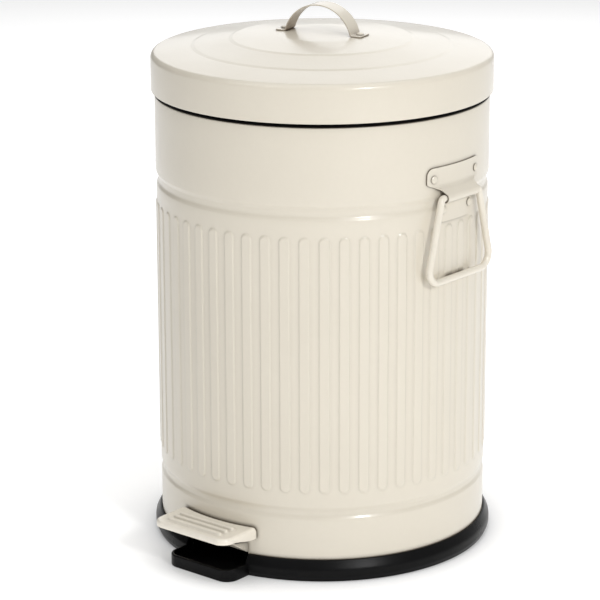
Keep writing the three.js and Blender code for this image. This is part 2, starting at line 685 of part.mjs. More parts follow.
/** The arm under the lid: a flange along the lid, and two cheeks down to the hinge pin and the rod. */
function lidArm() {
  const back = LID_R - LID_HEM - SHEET - 3 * SEAT;
  const front = LID_R - ARM_REACH;
  const top = (y) => lidUnderside(y) - 2 * SEAT;
  const shoulder = back - LID_SHOULDER;
  const side = new THREE.Shape();
  side.moveTo(front, top(front));
  side.lineTo(front, top(front) - ARM_NOSE);
  side.lineTo(CRANK_PIN.y - ARM_BOSS, LID_Z + ARM_THROAT);
  side.lineTo(CRANK_PIN.y - ARM_BOSS, CRANK_PIN.z);
  side.absarc(CRANK_PIN.y, CRANK_PIN.z, ARM_BOSS, Math.PI, 1.75 * Math.PI);
  side.absarc(HINGE.y, HINGE.z, ARM_BOSS + SEAT, 1.75 * Math.PI, 2.6 * Math.PI);
  side.lineTo(back, HINGE.z + ARM_BOSS + SHEET);
  side.lineTo(back, SHOULDER_Z - LID_SHOULDER - STAMPING);
  side.lineTo(shoulder, top(shoulder) - SEAT);
  const block = pulledAcross(side, -ARM_HALF, ARM_HALF, 4);
  const inner = ARM_HALF - STAMPING;
  const room = outline([
    [front - PAST, HINGE.z - ARM_REACH],
    [back + 2 * PAST, HINGE.z - ARM_REACH],
    [back + 2 * PAST, top(back) - 2 * STAMPING],
    [front - PAST, top(front - PAST) - STAMPING],
  ]);
  const across = ARM_HALF + PAST;
  const pinHole = barX(-across, across, HINGE.y, HINGE.z, HINGE_PIN_R + SEAT);
  const rodHole = barX(-across, across, CRANK_PIN.y, CRANK_PIN.z, ROD_R + SEAT);
  return surface(cut(block, pulledAcross(room, -inner, inner), pinHole, rodHole));
}

// ---------------------------------------------------------------- hinge
function hingeBracket() {
  const top = BODY_TOP - BRACKET_DROP;
  const low = top - BRACKET_H;
  const plan = pulledBack(rectangle(-BRACKET_HALF, low, BRACKET_HALF, top), 0, BODY_R + PAST);
  const plate = ringPlate(PLATE_R, PLATE_R + STAMPING, low, top).intersect(plan);
  const ear = new THREE.Shape();
  ear.moveTo(BODY_R - HEM, low + STAMPING);
  ear.lineTo(PLATE_R + 2 * STAMPING, low + STAMPING);
  ear.lineTo(HINGE.y + EAR_R, HINGE.z);
  ear.absarc(HINGE.y, HINGE.z, EAR_R, 0, Math.PI);
  ear.lineTo(BODY_R - HEM, HINGE.z - 2 * EAR_R);
  const ears = [-EAR_X, EAR_X - STAMPING].map((x) => pulledAcross(ear, x, x + STAMPING, 4));
  const wall = drum(PLATE_R, 0, BODY_TOP);
  const pinHole = barX(-EAR_X - PAST, EAR_X + PAST, HINGE.y, HINGE.z, HINGE_PIN_R + SEAT);
  return surface(cut(join(plate, ...ears), wall, pinHole, ...rivetHoles().slice(-hingeRivets.length)));
}

// ---------------------------------------------------------------- push rod
/** The rod from the lid arm's crank hole down the back wall to the lever's slot. */
function pushRod() {
  const { y, z } = CRANK_PIN;
  const hook = ARM_HALF + CLIP_T + HOOK_END;
  const foot = LEVER_HALF + HOOK_END;
  const lap = ROD_STRAIGHT / 2; // the three runs overlap by this much
  const upper = [[hook, y, z], [0, y, z], [0, y, z - ROD_STRAIGHT - lap]];
  const long = [
    [0, y, z - ROD_STRAIGHT],
    [0, y, BUCKET_FLOOR_Z + ROD_BEND],
    [0, FOOT_Y, FOOT_Z + 2 * ROD_STRAIGHT],
    [0, FOOT_Y, FOOT_Z + ROD_STRAIGHT],
  ];
  const lower = [[0, FOOT_Y, FOOT_Z + ROD_STRAIGHT + lap], [0, FOOT_Y, FOOT_Z], [foot, FOOT_Y, FOOT_Z]];
  return surface(
    join(
      solid(wire(upper, [ROD_BEND], [0, 1, 0], ROD_R)),
      solid(wire(long, [ROD_SWEEP, ROD_SWEEP], [1, 0, 0], ROD_R)),
      solid(wire(lower, [ROD_BEND], [0, 1, 0], ROD_R)),
    ),
  );
}

/** Push-on washer that keeps the rod's hook in the lid arm. */
function rodClip() {
  const x = ARM_HALF + SEAT;
  const hole = barX(x - PAST, x + PAST, CRANK_PIN.y, CRANK_PIN.z, ROD_R + SEAT / 2);
  return surface(cut(barX(x, x + CLIP_T, CRANK_PIN.y, CRANK_PIN.z, CLIP_R), hole));
}

// ---------------------------------------------------------------- pedal
/** Underside of the lever, from under the pad's front back to its tail, as [y, z]. */
const leverLine = [
  [PAD_FRONT + LEVER_TIP, PAD_UNDER - SEAT - STAMPING],
  [WALL_Y, NECK_Z],
  [WALL_Y + NECK_FALL[0], NECK_Z - NECK_FALL[1]],
  [WALL_Y + CHANNEL_AT, LEVER_FLOOR_Z + CHANNEL_LIFT],
  [PIVOT_Y - CHANNEL_LEVEL, LEVER_FLOOR_Z],
  [TAIL_Y, LEVER_FLOOR_Z],
];

/** Upper edge of the lever's cheeks and tip, from the tail forward, as [y, z]. */
const cheekLine = [
  [TAIL_Y, LEVER_FLOOR_Z + LEVER_H],
  [WALL_Y + CHANNEL_AT, LEVER_FLOOR_Z + LEVER_H],
  [WALL_Y + NECK_BACK, NECK_Z + NECK_H - STAMPING],
  [WALL_Y, NECK_Z + NECK_H],
  [WALL_Y - NECK_OUT, NECK_Z + NECK_H + NECK_LIFT],
  [PAD_FRONT + LEVER_TIP + LEVER_LAND, PAD_UNDER - SEAT],
  [PAD_FRONT + LEVER_TIP, PAD_UNDER - SEAT],
];

/** Plan of the lever: wide at the pad's neck, drawn in to a narrow channel. */
function leverPlan(inset) {
  const neck = LEVER_NECK_HALF - inset;
  const half = LEVER_HALF - inset;
  const [taperStart, taperEnd] = NECK_TAPER;
  const right = [
    [neck, PAD_FRONT],
    [neck, WALL_Y + taperStart],
    [half, WALL_Y + taperEnd],
    [half, TAIL_Y + PAST],
  ];
  return outline([...right, ...right.map(([x, y]) => [-x, y]).reverse()]);
}

/** Everything above the lever's sheet, between its cheeks. */
function leverTrough() {
  const floor = leverLine.map(([y, z]) => [y, z + STAMPING + (z > BASE_H ? SEAT : 0)]);
  const tail = TAIL_Y + PAST;
  const sky = 2 * PAD_Z;
  const side = outline([...floor, [tail, LEVER_FLOOR_Z + STAMPING], [tail, sky], [PAD_FRONT, sky]]);
  const inside = pulledUp(leverPlan(STAMPING), 0, sky);
  return pulledAcross(side, -LEVER_NECK_HALF, LEVER_NECK_HALF).intersect(inside);
}

/** The long hole in both cheeks that the rod's foot slides in. */
function leverSlot() {
  const across = LEVER_HALF + PAST;
  const half = SLOT_HALF - SLOT_R;
  const y = FOOT_Y - SLOT_LEAD;
  const ends = [-half, half].map((end) => barX(-across, across, y + end, FOOT_Z, SLOT_R));
  const middle = rectangle(y - half, FOOT_Z - SLOT_R, y + half, FOOT_Z + SLOT_R);
  return join(pulledAcross(middle, -across, across), ...ends);
}

function pedalLever() {
  const side = pulledAcross(outline([...leverLine, ...cheekLine]), -LEVER_NECK_HALF, LEVER_NECK_HALF);
  const blank = side.intersect(pulledUp(leverPlan(0), 0, 2 * PAD_Z));
  const pivotHole = barX(-EAR_OUTSIDE, EAR_OUTSIDE, PIVOT_Y, PIVOT_Z, PIVOT_R + SEAT);
  return surface(cut(blank, leverTrough(), pivotHole, leverSlot()));
}

/** The pad's plan, inset by a wall; its back is cut to the body's round afterwards. */
function padPlan(inset) {
  const r = PAD_CORNER - inset;
  const half = PAD_HALF - inset;
  const front = PAD_FRONT + inset;
  const shape = new THREE.Shape();
  shape.absarc(-half + r, front + r, r, Math.PI, 1.5 * Math.PI);
  shape.absarc(half - r, front + r, r, 1.5 * Math.PI, 2 * Math.PI);
  shape.lineTo(half, -BODY_R / 2);
  shape.lineTo(-half, -BODY_R / 2);
  return shape;
}

/** A pad-shaped block up to a height, with its upper edge rounded. */
function padBlock(inset, top) {
  const depth = 2 * PAD_SKIRT_REAR;
  const options = {
    depth,
    curveSegments: 4,
    bevelThickness: PAD_EDGE,
    bevelSize: PAD_EDGE,
    bevelOffset: -PAD_EDGE,
    bevelSegments: 2,
  };
  return solid(new THREE.ExtrudeGeometry(padPlan(inset), options).translate(0, 0, top - depth - PAD_EDGE));
}

/** A pressed ridge across the pad, its crest narrower than its foot all round. */
function padRidge(y) {
  const half = RIDGE_W / 2;
  const slope = half / 2;
  const foot = PAD_Z - RIDGE_ROOT;
  const crest = PAD_Z + RIDGE_LIFT;
  const section = (middle, reach) => outline([
    [middle - reach, foot],
    [middle + reach, foot],
    [middle + reach - slope, crest],
    [middle - reach + slope, crest],
  ]);
  const length = pulledAcross(section(y, half), -RIDGE_HALF, RIDGE_HALF);
  return length.intersect(pulledBack(section(0, RIDGE_HALF), y - RIDGE_W, y + RIDGE_W));
}

function pedalPad() {
  const skirtZ = PAD_Z - PAD_SKIRT;
  const rearZ = PAD_Z - PAD_SKIRT_REAR;
  const under = outline([
    [PAD_FRONT - PAST, 0],
    [0, 0],
    [0, rearZ],
    [-BODY_R, rearZ],
    [PAD_FRONT + PAD_TURN, skirtZ],
    [PAD_FRONT - PAST, skirtZ],
  ]);
  const across = PAD_HALF + PAST;
  const frontRidge = PAD_FRONT + RIDGE_FRONT;
  const ridges = Array.from({ length: PAD_RIDGES }, (_, i) => padRidge(frontRidge + i * RIDGE_PITCH));
  const blank = join(padBlock(0, PAD_Z), ...ridges);
  const wall = drum(BODY_R + PAD_PLAY, 0, 2 * PAD_Z);
  return surface(cut(blank, padBlock(STAMPING, PAD_UNDER), pulledAcross(under, -across, across), wall));
}

// ---------------------------------------------------------------- side brackets and bails
/** The bracket at +X: a plate on the wall, a roll round the bail's wire, and a narrower tab below. */
function sideBracket() {
  const low = BAIL_Z - TAB_DROP;
  const high = BAIL_Z + PLATE_RISE;
  const plate = roundedBox(-PLATE_HALF, BAIL_Z + PLATE_LOW, PLATE_HALF, high, PLATE_CORNER);
  const tab = roundedBox(-TAB_HALF, low, TAB_HALF, BAIL_Z + PLATE_LOW + PLATE_CORNER, PLATE_CORNER / 2);
  const plan = join(pulledAcross(plate, 0, BODY_R + PAST, 3), pulledAcross(tab, 0, BODY_R + PAST, 3));
  const skin = ringPlate(PLATE_R, PLATE_R + PLATE_T, low - PAST, high + PAST).intersect(plan);
  const bore = rollBlock(ROLL_R - PLATE_T, PAST);
  const formed = join(cut(skin, bore), cut(rollBlock(ROLL_R, 0), bore));
  return surface(cut(formed, drum(PLATE_R, low - PAST, high + PAST), ...rivetHoles()));
}

/** The roll's outside or inside as a block: round the wire's axis in front, open to the wall behind. */
function rollBlock(r, extra) {
  const back = PLATE_R - ROLL_HALF / 2;
  const top = BAIL_Z + PLATE_LOW + ROLL_FLARE + r - ROLL_R;
  const shape = new THREE.Shape();
  shape.moveTo(back, BAIL_Z - r);
  shape.lineTo(BAIL_X, BAIL_Z - r);
  shape.absarc(BAIL_X, BAIL_Z, r, -Math.PI / 2, Math.PI / 3);
  shape.lineTo(PLATE_R + PLATE_T / 2, top);
  shape.lineTo(back, top);
  return pulledBack(shape, -ROLL_HALF - extra, ROLL_HALF + extra, 4);
}

/** The wire bail at +X, hanging straight down from its roll. */
function sideBail() {
  const low = BAIL_Z - BAIL_LENGTH;
  const end = BAIL_SPLIT / 2;
  const half = [[BAIL_X, BAIL_LOW_HALF, low], [BAIL_X, BAIL_TOP_HALF, BAIL_Z], [BAIL_X, end, BAIL_Z]];
  const corners = [...half.map(([x, y, z]) => [x, -y, z]).reverse(), ...half];
  return wire(corners, [BAIL_BEND_TOP, BAIL_BEND_LOW, BAIL_BEND_LOW, BAIL_BEND_TOP], [1, 0, 0], BAIL_WIRE_R);
}

// ---------------------------------------------------------------- assembly
function piece(name, geometry, material) {
  const mesh = new THREE.Mesh(geometry, material);
  mesh.name = name;
  return mesh;
}

/** A rivet whose head seats at a radius from the body's axis, facing straight out. */
function radialRivet(name, grip, x, y, z, seatR) {
  const mesh = piece(name, rivet(grip), CREAM);
  const out = point(x, y, 0).normalize();
  mesh.position.copy(out.clone().multiplyScalar(seatR).setZ(z));
  mesh.quaternion.setFromUnitVectors(point(0, 0, 1), out);
  return mesh;
}

/** Bracket, rivets and bail of one side, made at +X. */
function sideHandle(side) {
  const group = new THREE.Group();
  group.add(piece(`handle_bracket_${side}`, sideBracket(), CREAM));
  group.add(piece(`handle_bail_${side}`, sideBail(), CREAM));
  sideRivets.forEach(([y, z], i) => {
    const x = Math.sqrt(BODY_R ** 2 - y ** 2);
    const intoBead = z < BAIL_Z ? WAIST + BEAD_DEPTH : 0;
    const grip = SHEET + PLATE_T + SEAT + intoBead;
    group.add(radialRivet(`handle_rivet_${side}_${i + 1}`, grip, x, y, z, PLATE_R + PLATE_T + SEAT));
  });
  return group;
}

function bodyGroup() {
  const group = new THREE.Group();
  group.add(
    piece("body_shell", bodyShell(), CREAM),
    piece("base_pan", basePan(), BLACK),
    piece("rim_ring", rimRing(), BLACK),
    piece("inner_bucket", innerBucket(), BUCKET_GREY),
    piece("bucket_bail", bucketBail(), ZINC),
    piece("hinge_bracket", hingeBracket(), CREAM),
    piece("hinge_pin", headedPin(EAR_X + PIN_END, HINGE, HINGE_PIN_R), ZINC),
    piece("pedal_pivot_pin", headedPin(EAR_OUTSIDE + PIN_END, { y: PIVOT_Y, z: PIVOT_Z }, PIVOT_R), ZINC),
  );
  hingeRivets.forEach(([x, z], i) => {
    const y = Math.sqrt(BODY_R ** 2 - x ** 2);
    const grip = SHEET + STAMPING + SEAT;
    group.add(radialRivet(`hinge_rivet_${i + 1}`, grip, x, y, z, PLATE_R + STAMPING + SEAT));
  });
  return group;
}

function lidGroup() {
  const group = new THREE.Group();
  group.add(piece("lid_shell", lidShell(), CREAM), piece("lid_arm", lidArm(), ZINC));
  const handle = new THREE.Group();
  handle.position.z = CROWN_Z;
  handle.rotation.z = rad(STRAP_TURN);
  handle.add(piece("lid_strap", lidStrap(), CREAM));
  [-strapRivetX, strapRivetX].forEach((x, i) => {
    const head = piece(`strap_rivet_${i + 1}`, rivet(STAMPING + SHEET), CREAM);
    head.position.set(x, 0, STAMPING + SEAT);
    handle.add(head);
  });
  group.add(handle);
  return group;
}

function linkageGroup() {
  const group = new THREE.Group();
  group.add(
    piece("push_rod", pushRod(), ZINC),
    piece("rod_clip", rodClip(), ZINC),
    piece("pedal_lever", pedalLever(), CREAM),
    piece("pedal_pad", pedalPad(), CREAM),
  );
  return group;
}

const bin = new THREE.Group();
const right = sideHandle("right");
const left = sideHandle("left");
left.rotation.z = Math.PI;
bin.add(bodyGroup(), lidGroup(), linkageGroup(), right, left);

export default bin;
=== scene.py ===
"""Looks of a round step-on bin: cream enamelled body and lid, black base, wire bails and pedal."""
import json
import math

import bmesh
import bpy
import numpy as np
from mathutils import Matrix, Vector
from mathutils.geometry import delaunay_2d_cdt


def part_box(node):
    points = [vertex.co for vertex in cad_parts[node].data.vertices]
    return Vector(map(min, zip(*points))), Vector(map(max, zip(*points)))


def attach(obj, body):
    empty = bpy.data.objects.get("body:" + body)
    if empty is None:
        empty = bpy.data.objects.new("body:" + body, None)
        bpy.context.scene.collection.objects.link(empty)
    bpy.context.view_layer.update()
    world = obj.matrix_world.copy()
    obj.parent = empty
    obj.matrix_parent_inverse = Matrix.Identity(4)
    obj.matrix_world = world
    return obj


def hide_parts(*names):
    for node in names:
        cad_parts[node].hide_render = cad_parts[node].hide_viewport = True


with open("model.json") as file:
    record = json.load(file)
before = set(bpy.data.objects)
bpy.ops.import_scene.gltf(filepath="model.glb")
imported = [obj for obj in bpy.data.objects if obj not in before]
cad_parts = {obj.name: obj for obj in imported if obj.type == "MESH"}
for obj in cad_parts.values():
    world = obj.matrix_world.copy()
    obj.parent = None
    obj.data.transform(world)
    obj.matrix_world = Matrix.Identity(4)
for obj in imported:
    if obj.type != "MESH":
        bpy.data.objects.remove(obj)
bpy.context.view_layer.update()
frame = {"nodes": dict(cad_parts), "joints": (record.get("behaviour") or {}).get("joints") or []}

# ------------------------------------------------------------------ sizes, in millimetres
MM = 0.001


def low(node):
    """Lowest corner of a node, in millimetres."""
    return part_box(node)[0] / MM


def high(node):
    """Highest corner of a node, in millimetres."""
    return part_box(node)[1] / MM


def pivot(joint):
    """A joint's place, in millimetres."""
    return Vector(next(j for j in frame["joints"] if j["name"] == joint)["pos_m"]) / MM


BODY_R = high("body_shell").x
BODY_TOP = high("body_shell").z
BODY_FOOT = low("body_shell").z
WAIST = 0.7  # the wall below the upper bead stands this much further in
SHEET = 0.8
HEM = 3.0
RIBS = 54
RIB_RELIEF = 0.85
RIB_HALF = 4.3
RIB_FLANK = 1.5
RIB_FOOT = 79.4
RIB_HEAD = BODY_TOP - 94.3
UPPER_BEAD = (318.7, 332.8)  # lower and upper edge
LOWER_BEAD = (54.3, 66.7)
BEAD_DEPTH = 1.75
BEAD_FLANK = 4.9
SEAM_HALF = 4.0
SEAM_LIFT = 0.5
SLOT_HALF = 33.1  # the pedal's slot in the wall
SLOT_TOP = 33.0
SLOT_FOOT_HALF = 37.0  # the slot's width inside the base's groove
NOTCH_HALF = 14.0  # the rear notch for the lid's arm
NOTCH_DEPTH = 19.7

BASE_R = high("base_pan").x
BASE_TOP = 19.0
TRAY_FRONT = low("base_pan").y
TRAY_HALF = 36.5
TRAY_H = 11.0
TRAY_WALL = 2.2
TRAY_CORNER = 12.0
BASE_FLOOR = 2.0
GROOVE_R = BODY_R - WAIST + 0.4
EAR_NEAR = 12.7  # the pivot ears' inner faces from the middle
EAR_T = 3.0

LID_R = high("lid_shell").x
LID_FOOT = low("lid_shell").z
LID_SHOULDER = LID_FOOT + 32.5
CROWN = high("lid_shell").z
LID_CORNER = 5.2
LID_STEPS = ((114.0, 4.9), (110.6, 5.9), (81.1, 10.9), (77.8, 11.9))  # radius, rise above the shoulder
LID_STEP_BEND = 4.0

PLATE_OUT = 1.3  # the side bracket's outer face beyond the body
PLATE_T = 1.0
PLATE_HALF = high("handle_bracket_right").y
PLATE_TOP = high("handle_bracket_right").z
PLATE_FOOT = low("handle_bracket_right").z
PLATE_CORNER = 6.5
PLATE_ROWS = (348.0, 346.0, 344.6, 343.8)  # heights of the plate's rows above the flare
FLARE_START = 343.0
TAB_HALF = 21.5
TAB_CORNER = 4.0
RIVET_R = 3.4
RIVET_H = 1.6
RIVET_SHANK_R = 1.7
RIVET_SHANK = 2.2
BAIL_AXIS = pivot("bail_swing_right")
BAIL_WIRE = 3.0
BAIL_LENGTH = 72.0
BAIL_TOP_HALF = 26.0
BAIL_LOW_HALF = 45.5
ROLL_R = 4.39

PAD_HALF = high("pedal_pad").x
PAD_FRONT = low("pedal_pad").y
PAD_TOP = high("pedal_pad").z - 0.8
PAD_SKIRT = 5.4
PAD_SKIRT_REAR = 10.0
PAD_CORNER = 11.0
PAD_ROLL = 2.6
PAD_T = 1.2
PAD_REAR_R = BODY_R + 1.0
RIDGES = 3
RIDGE_PITCH = 8.0
RIDGE_FRONT = 9.9  # front ridge behind the pad's front edge
RIDGE_HALF = 30.0
RIDGE_LIFT = 1.9

STRAP_SPAN = 64.0
STRAP_FOOT = 9.3
STRAP_RISE = 24.59
STRAP_W = 18.2
STRAP_T = 1.2
STRAP_TURN = math.radians(12.5)

CRANK = pivot("rod_hook")
ROD_R = 1.75
ROD_JOG = 8.0
ROD_FOOT_Z = 15.25


# ------------------------------------------------------------------ node groups and materials
def group_of(name, inputs, outputs):
    """An empty shader node group with named sockets, and its two end nodes."""
    tree = bpy.data.node_groups.new(name, "ShaderNodeTree")
    for direction, sockets in (("INPUT", inputs), ("OUTPUT", outputs)):
        for label, kind, default in sockets:
            socket = tree.interface.new_socket(label, in_out=direction, socket_type=f"NodeSocket{kind}")
            if default is not None:
                socket.default_value = default
    return tree, tree.nodes.new("NodeGroupInput"), tree.nodes.new("NodeGroupOutput")


def noise(tree, vector, scale, detail=2.0, roughness=0.5):
    node = tree.nodes.new("ShaderNodeTexNoise")
    node.inputs["Scale"].default_value = scale
    node.inputs["Detail"].default_value = detail
    node.inputs["Roughness"].default_value = roughness
    tree.links.new(vector, node.inputs["Vector"])
    return node.outputs["Fac"]


def spread(tree, value, start, end):
    """Maps noise around its middle to a range given by two sockets or numbers."""
    node = tree.nodes.new("ShaderNodeMapRange")
    node.inputs["From Min"].default_value = 0.3
    node.inputs["From Max"].default_value = 0.7
    tree.links.new(value, node.inputs["Value"])
    for label, given in (("To Min", start), ("To Max", end)):
        if isinstance(given, (int, float)):
            node.inputs[label].default_value = given
        else:
            tree.links.new(given, node.inputs[label])
    return node.outputs["Result"]


def scaled(tree, value, factor):
    node = tree.nodes.new("ShaderNodeMath")
    node.operation = "MULTIPLY"
    for socket, given in zip(node.inputs, (value, factor)):
        if isinstance(given, (int, float)):
            socket.default_value = given
        else:
            tree.links.new(given, socket)
    return node.outputs[0]


def added(tree, first, second):
    node = tree.nodes.new("ShaderNodeMath")
    node.operation = "ADD"
    tree.links.new(first, node.inputs[0])
    tree.links.new(second, node.inputs[1])
    return node.outputs[0]


def blended(tree, factor, first, second):
    node = tree.nodes.new("ShaderNodeMix")
    node.data_type = "RGBA"
    tree.links.new(factor, node.inputs["Factor"])
    for socket, given in ((node.inputs["A"], first), (node.inputs["B"], second)):
        if isinstance(given, tuple):
            socket.default_value = given
        else:
            tree.links.new(given, socket)
    return node.outputs["Result"]


def sprayed_skin():
    """Sprayed and baked enamel: orange peel, faint clouding of the colour and uneven gloss."""
    tree, start, end = group_of(
        "sprayed_skin",
        [("Vector", "Vector", None), ("Tint", "Color", None), ("Shade", "Color", None),
         ("Gloss", "Float", 0.35), ("Gloss change", "Float", 0.06), ("Peel", "Float", 420.0)],
        [("Color", "Color", None), ("Roughness", "Float", None), ("Height", "Float", None)])
    vector = start.outputs["Vector"]
    cloud = spread(tree, noise(tree, vector, 9.0, 3.0), 0.0, 1.0)
    fleck = spread(tree, noise(tree, vector, 260.0, 2.0), 0.0, 0.25)
    tone = added(tree, scaled(tree, cloud, 0.75), fleck)
    tree.links.new(blended(tree, tone, start.outputs["Tint"], start.outputs["Shade"]), end.inputs["Color"])
    patches = spread(tree, noise(tree, vector, 22.0, 4.0), -0.5, 0.5)
    uneven = scaled(tree, patches, start.outputs["Gloss change"])
    tree.links.new(added(tree, start.outputs["Gloss"], uneven), end.inputs["Roughness"])
    peel = tree.nodes.new("ShaderNodeTexNoise")
    peel.inputs["Detail"].default_value = 1.0
    tree.links.new(vector, peel.inputs["Vector"])
    tree.links.new(start.outputs["Peel"], peel.inputs["Scale"])
    tree.links.new(peel.outputs["Fac"], end.inputs["Height"])
    return tree


def moulded_grain():
    """Moulded plastic: a fine spark texture, soft flow clouds and a dulled, slightly dusty sheen."""
    tree, start, end = group_of(
        "moulded_grain",
        [("Vector", "Vector", None), ("Tint", "Color", None), ("Dust", "Color", None),
         ("Gloss", "Float", 0.45), ("Grain", "Float", 900.0)],
        [("Color", "Color", None), ("Roughness", "Float", None), ("Height", "Float", None)])
    vector = start.outputs["Vector"]
    dust = spread(tree, noise(tree, vector, 40.0, 5.0, 0.65), 0.0, 0.55)
    tree.links.new(blended(tree, dust, start.outputs["Tint"], start.outputs["Dust"]), end.inputs["Color"])
    flow = spread(tree, noise(tree, vector, 14.0, 2.0), -0.05, 0.07)
    tree.links.new(added(tree, start.outputs["Gloss"], flow), end.inputs["Roughness"])
    grain = tree.nodes.new("ShaderNodeTexNoise")
    grain.inputs["Detail"].default_value = 3.0
    tree.links.new(vector, grain.inputs["Vector"])
    tree.links.new(start.outputs["Grain"], grain.inputs["Scale"])
    tree.links.new(grain.outputs["Fac"], end.inputs["Height"])
    return tree


def plated_spangle():
    """Zinc plate: small spangle cells of slightly different grey, with fine drawing lines."""
    tree, start, end = group_of(
        "plated_spangle",
        [("Vector", "Vector", None), ("Tint", "Color", None), ("Shade", "Color", None),
         ("Gloss", "Float", 0.35)],
        [("Color", "Color", None), ("Roughness", "Float", None), ("Height", "Float", None)])
    vector = start.outputs["Vector"]
    cells = tree.nodes.new("ShaderNodeTexVoronoi")
    cells.inputs["Scale"].default_value = 320.0
    tree.links.new(vector, cells.inputs["Vector"])
    grey = tree.nodes.new("ShaderNodeSeparateColor")
    tree.links.new(cells.outputs["Color"], grey.inputs["Color"])
    tree.links.new(blended(tree, grey.outputs["Red"], start.outputs["Tint"], start.outputs["Shade"]),
                   end.inputs["Color"])
    streak = spread(tree, noise(tree, vector, 180.0, 4.0), -0.06, 0.1)
    tree.links.new(added(tree, start.outputs["Gloss"], streak), end.inputs["Roughness"])
    tree.links.new(noise(tree, vector, 700.0, 2.0), end.inputs["Height"])
    return tree


def dressed(name, effect, values, bump, shader_values):
    """A material: one effect group feeding a Principled shader through a bump."""
    material = bpy.data.materials.new(name)
    material.use_nodes = True
    tree = material.node_tree
    shader = tree.nodes["Principled BSDF"]
    place = tree.nodes.new("ShaderNodeTexCoord")
    skin = tree.nodes.new("ShaderNodeGroup")
    skin.node_tree = effect
    tree.links.new(place.outputs["Object"], skin.inputs["Vector"])
    for label, value in values.items():
        skin.inputs[label].default_value = value
    relief = tree.nodes.new("ShaderNodeBump")
    relief.inputs["Strength"].default_value = bump[0]
    relief.inputs["Distance"].default_value = bump[1]
    tree.links.new(skin.outputs["Height"], relief.inputs["Height"])
    tree.links.new(skin.outputs["Color"], shader.inputs["Base Color"])
    tree.links.new(skin.outputs["Roughness"], shader.inputs["Roughness"])
    tree.links.new(relief.outputs["Normal"], shader.inputs["Normal"])
    for label, value in shader_values.items():
        shader.inputs[label].default_value = value
    return material


def shade_painted_in_creases(material, colour, reach, least=0.45, most=0.95):
    """Paints shade into a finish: darkens its colour by ambient occlusion in its creases and in the narrow
    gaps behind its neighbours, where shade falls.
    """
    tree = material.node_tree
    base = tree.nodes["Principled BSDF"].inputs["Base Color"]
    # the finish's colour before the painted shade
    clean = base.links[0].from_socket
    near = tree.nodes.new("ShaderNodeAmbientOcclusion")
    near.samples = 8
    near.inputs["Distance"].default_value = reach * MM
    shut = tree.nodes.new("ShaderNodeMapRange")
    for label, value in (("From Min", least), ("From Max", most), ("To Min", 1.0), ("To Max", 0.0)):
        shut.inputs[label].default_value = value
    tree.links.new(near.outputs["AO"], shut.inputs["Value"])
    tree.links.new(blended(tree, shut.outputs["Result"], clean, colour), base)
    return material


SPRAYED = sprayed_skin()
MOULDED = moulded_grain()
PLATED = plated_spangle()
CREAM = (0.692, 0.640, 0.540, 1.0)
CREAM_SHADE = (0.665, 0.614, 0.516, 1.0)
CREAM_PAINTED_LIGHT = (0.800, 0.745, 0.645, 1.0)  # lighter cream, painted light: the wires and the pad drawn brighter as if more light fell on them
# painted light: the pad's top drawn lighter, as if more light fell on it
PAD_CREAM_PAINTED_LIGHT = (0.88, 0.825, 0.72, 1.0)
# dark brown painted shade for the enamel's creases and gaps and beside the wires
CREASE_PAINTED_SHADE = (0.115, 0.090, 0.062, 1.0)
# painted shade in the grooves between the pad's ridges
PAD_GROOVE_PAINTED_SHADE = (0.36, 0.31, 0.235, 1.0)
# near-black painted shadow on the lever where it lies under the pad
LEVER_PAINTED_SHADOW = (0.030, 0.025, 0.020, 1.0)
# painted shade on the strap's inner face under its arch
STRAP_PAINTED_SHADE = (0.25, 0.195, 0.14, 1.0)


def baked_enamel(name, skin, crease, reach, least=0.45, most=0.95, relief=0.0004, coat=(0.45, 0.14)):
    """Cream enamel from (tint, shade, gloss, peel), with the colour of the shade painted into its creases and
    that shade's reach.
    """
    values = dict(zip(("Tint", "Shade", "Gloss", "Peel"), skin))
    shader_values = {"IOR": 1.5, "Coat Weight": coat[0], "Coat Roughness": coat[1]}
    return shade_painted_in_creases(dressed(name, SPRAYED, values, (0.10, relief), shader_values), crease, reach, least, most)


enamel = baked_enamel("cream_enamel", (CREAM, CREAM_SHADE, 0.34, 420.0), CREASE_PAINTED_SHADE, 4.0)
wire_enamel = baked_enamel("cream_enamel_wire", (CREAM_PAINTED_LIGHT, CREAM, 0.30, 700.0), CREASE_PAINTED_SHADE, 2.5, relief=0.0003)
pad_enamel = baked_enamel("cream_enamel_pad", (PAD_CREAM_PAINTED_LIGHT, CREAM_PAINTED_LIGHT, 0.30, 420.0), PAD_GROOVE_PAINTED_SHADE, 4.0,
                          0.72, 1.0)
lever_enamel = baked_enamel("cream_enamel_lever", (CREAM, CREAM_SHADE, 0.36, 420.0), LEVER_PAINTED_SHADOW, 16.0,
                            0.3, 0.9, coat=(0.3, 0.2))
strap_enamel = baked_enamel("cream_enamel_strap", (CREAM, CREAM_SHADE, 0.34, 420.0), STRAP_PAINTED_SHADE, 30.0,
                            0.3, 0.95)
black_moulding = dressed(
    "black_moulding", MOULDED,
    {"Tint": (0.002, 0.002, 0.0022, 1.0), "Dust": (0.0042, 0.0042, 0.0045, 1.0), "Gloss": 0.30,
     "Grain": 900.0},
    (0.25, 0.0003), {"IOR": 1.22})
rim_black = dressed(
    "black_moulding_rim", MOULDED,
    {"Tint": (0.001, 0.001, 0.001, 1.0), "Dust": (0.002, 0.002, 0.002, 1.0), "Gloss": 0.60, "Grain": 900.0},
    (0.25, 0.0003), {"IOR": 1.1})
bucket_grey = dressed(
    "bucket_grey", MOULDED,
    {"Tint": (0.050, 0.052, 0.056, 1.0), "Dust": (0.075, 0.077, 0.080, 1.0), "Gloss": 0.5, "Grain": 600.0},
    (0.3, 0.0004), {"IOR": 1.48})
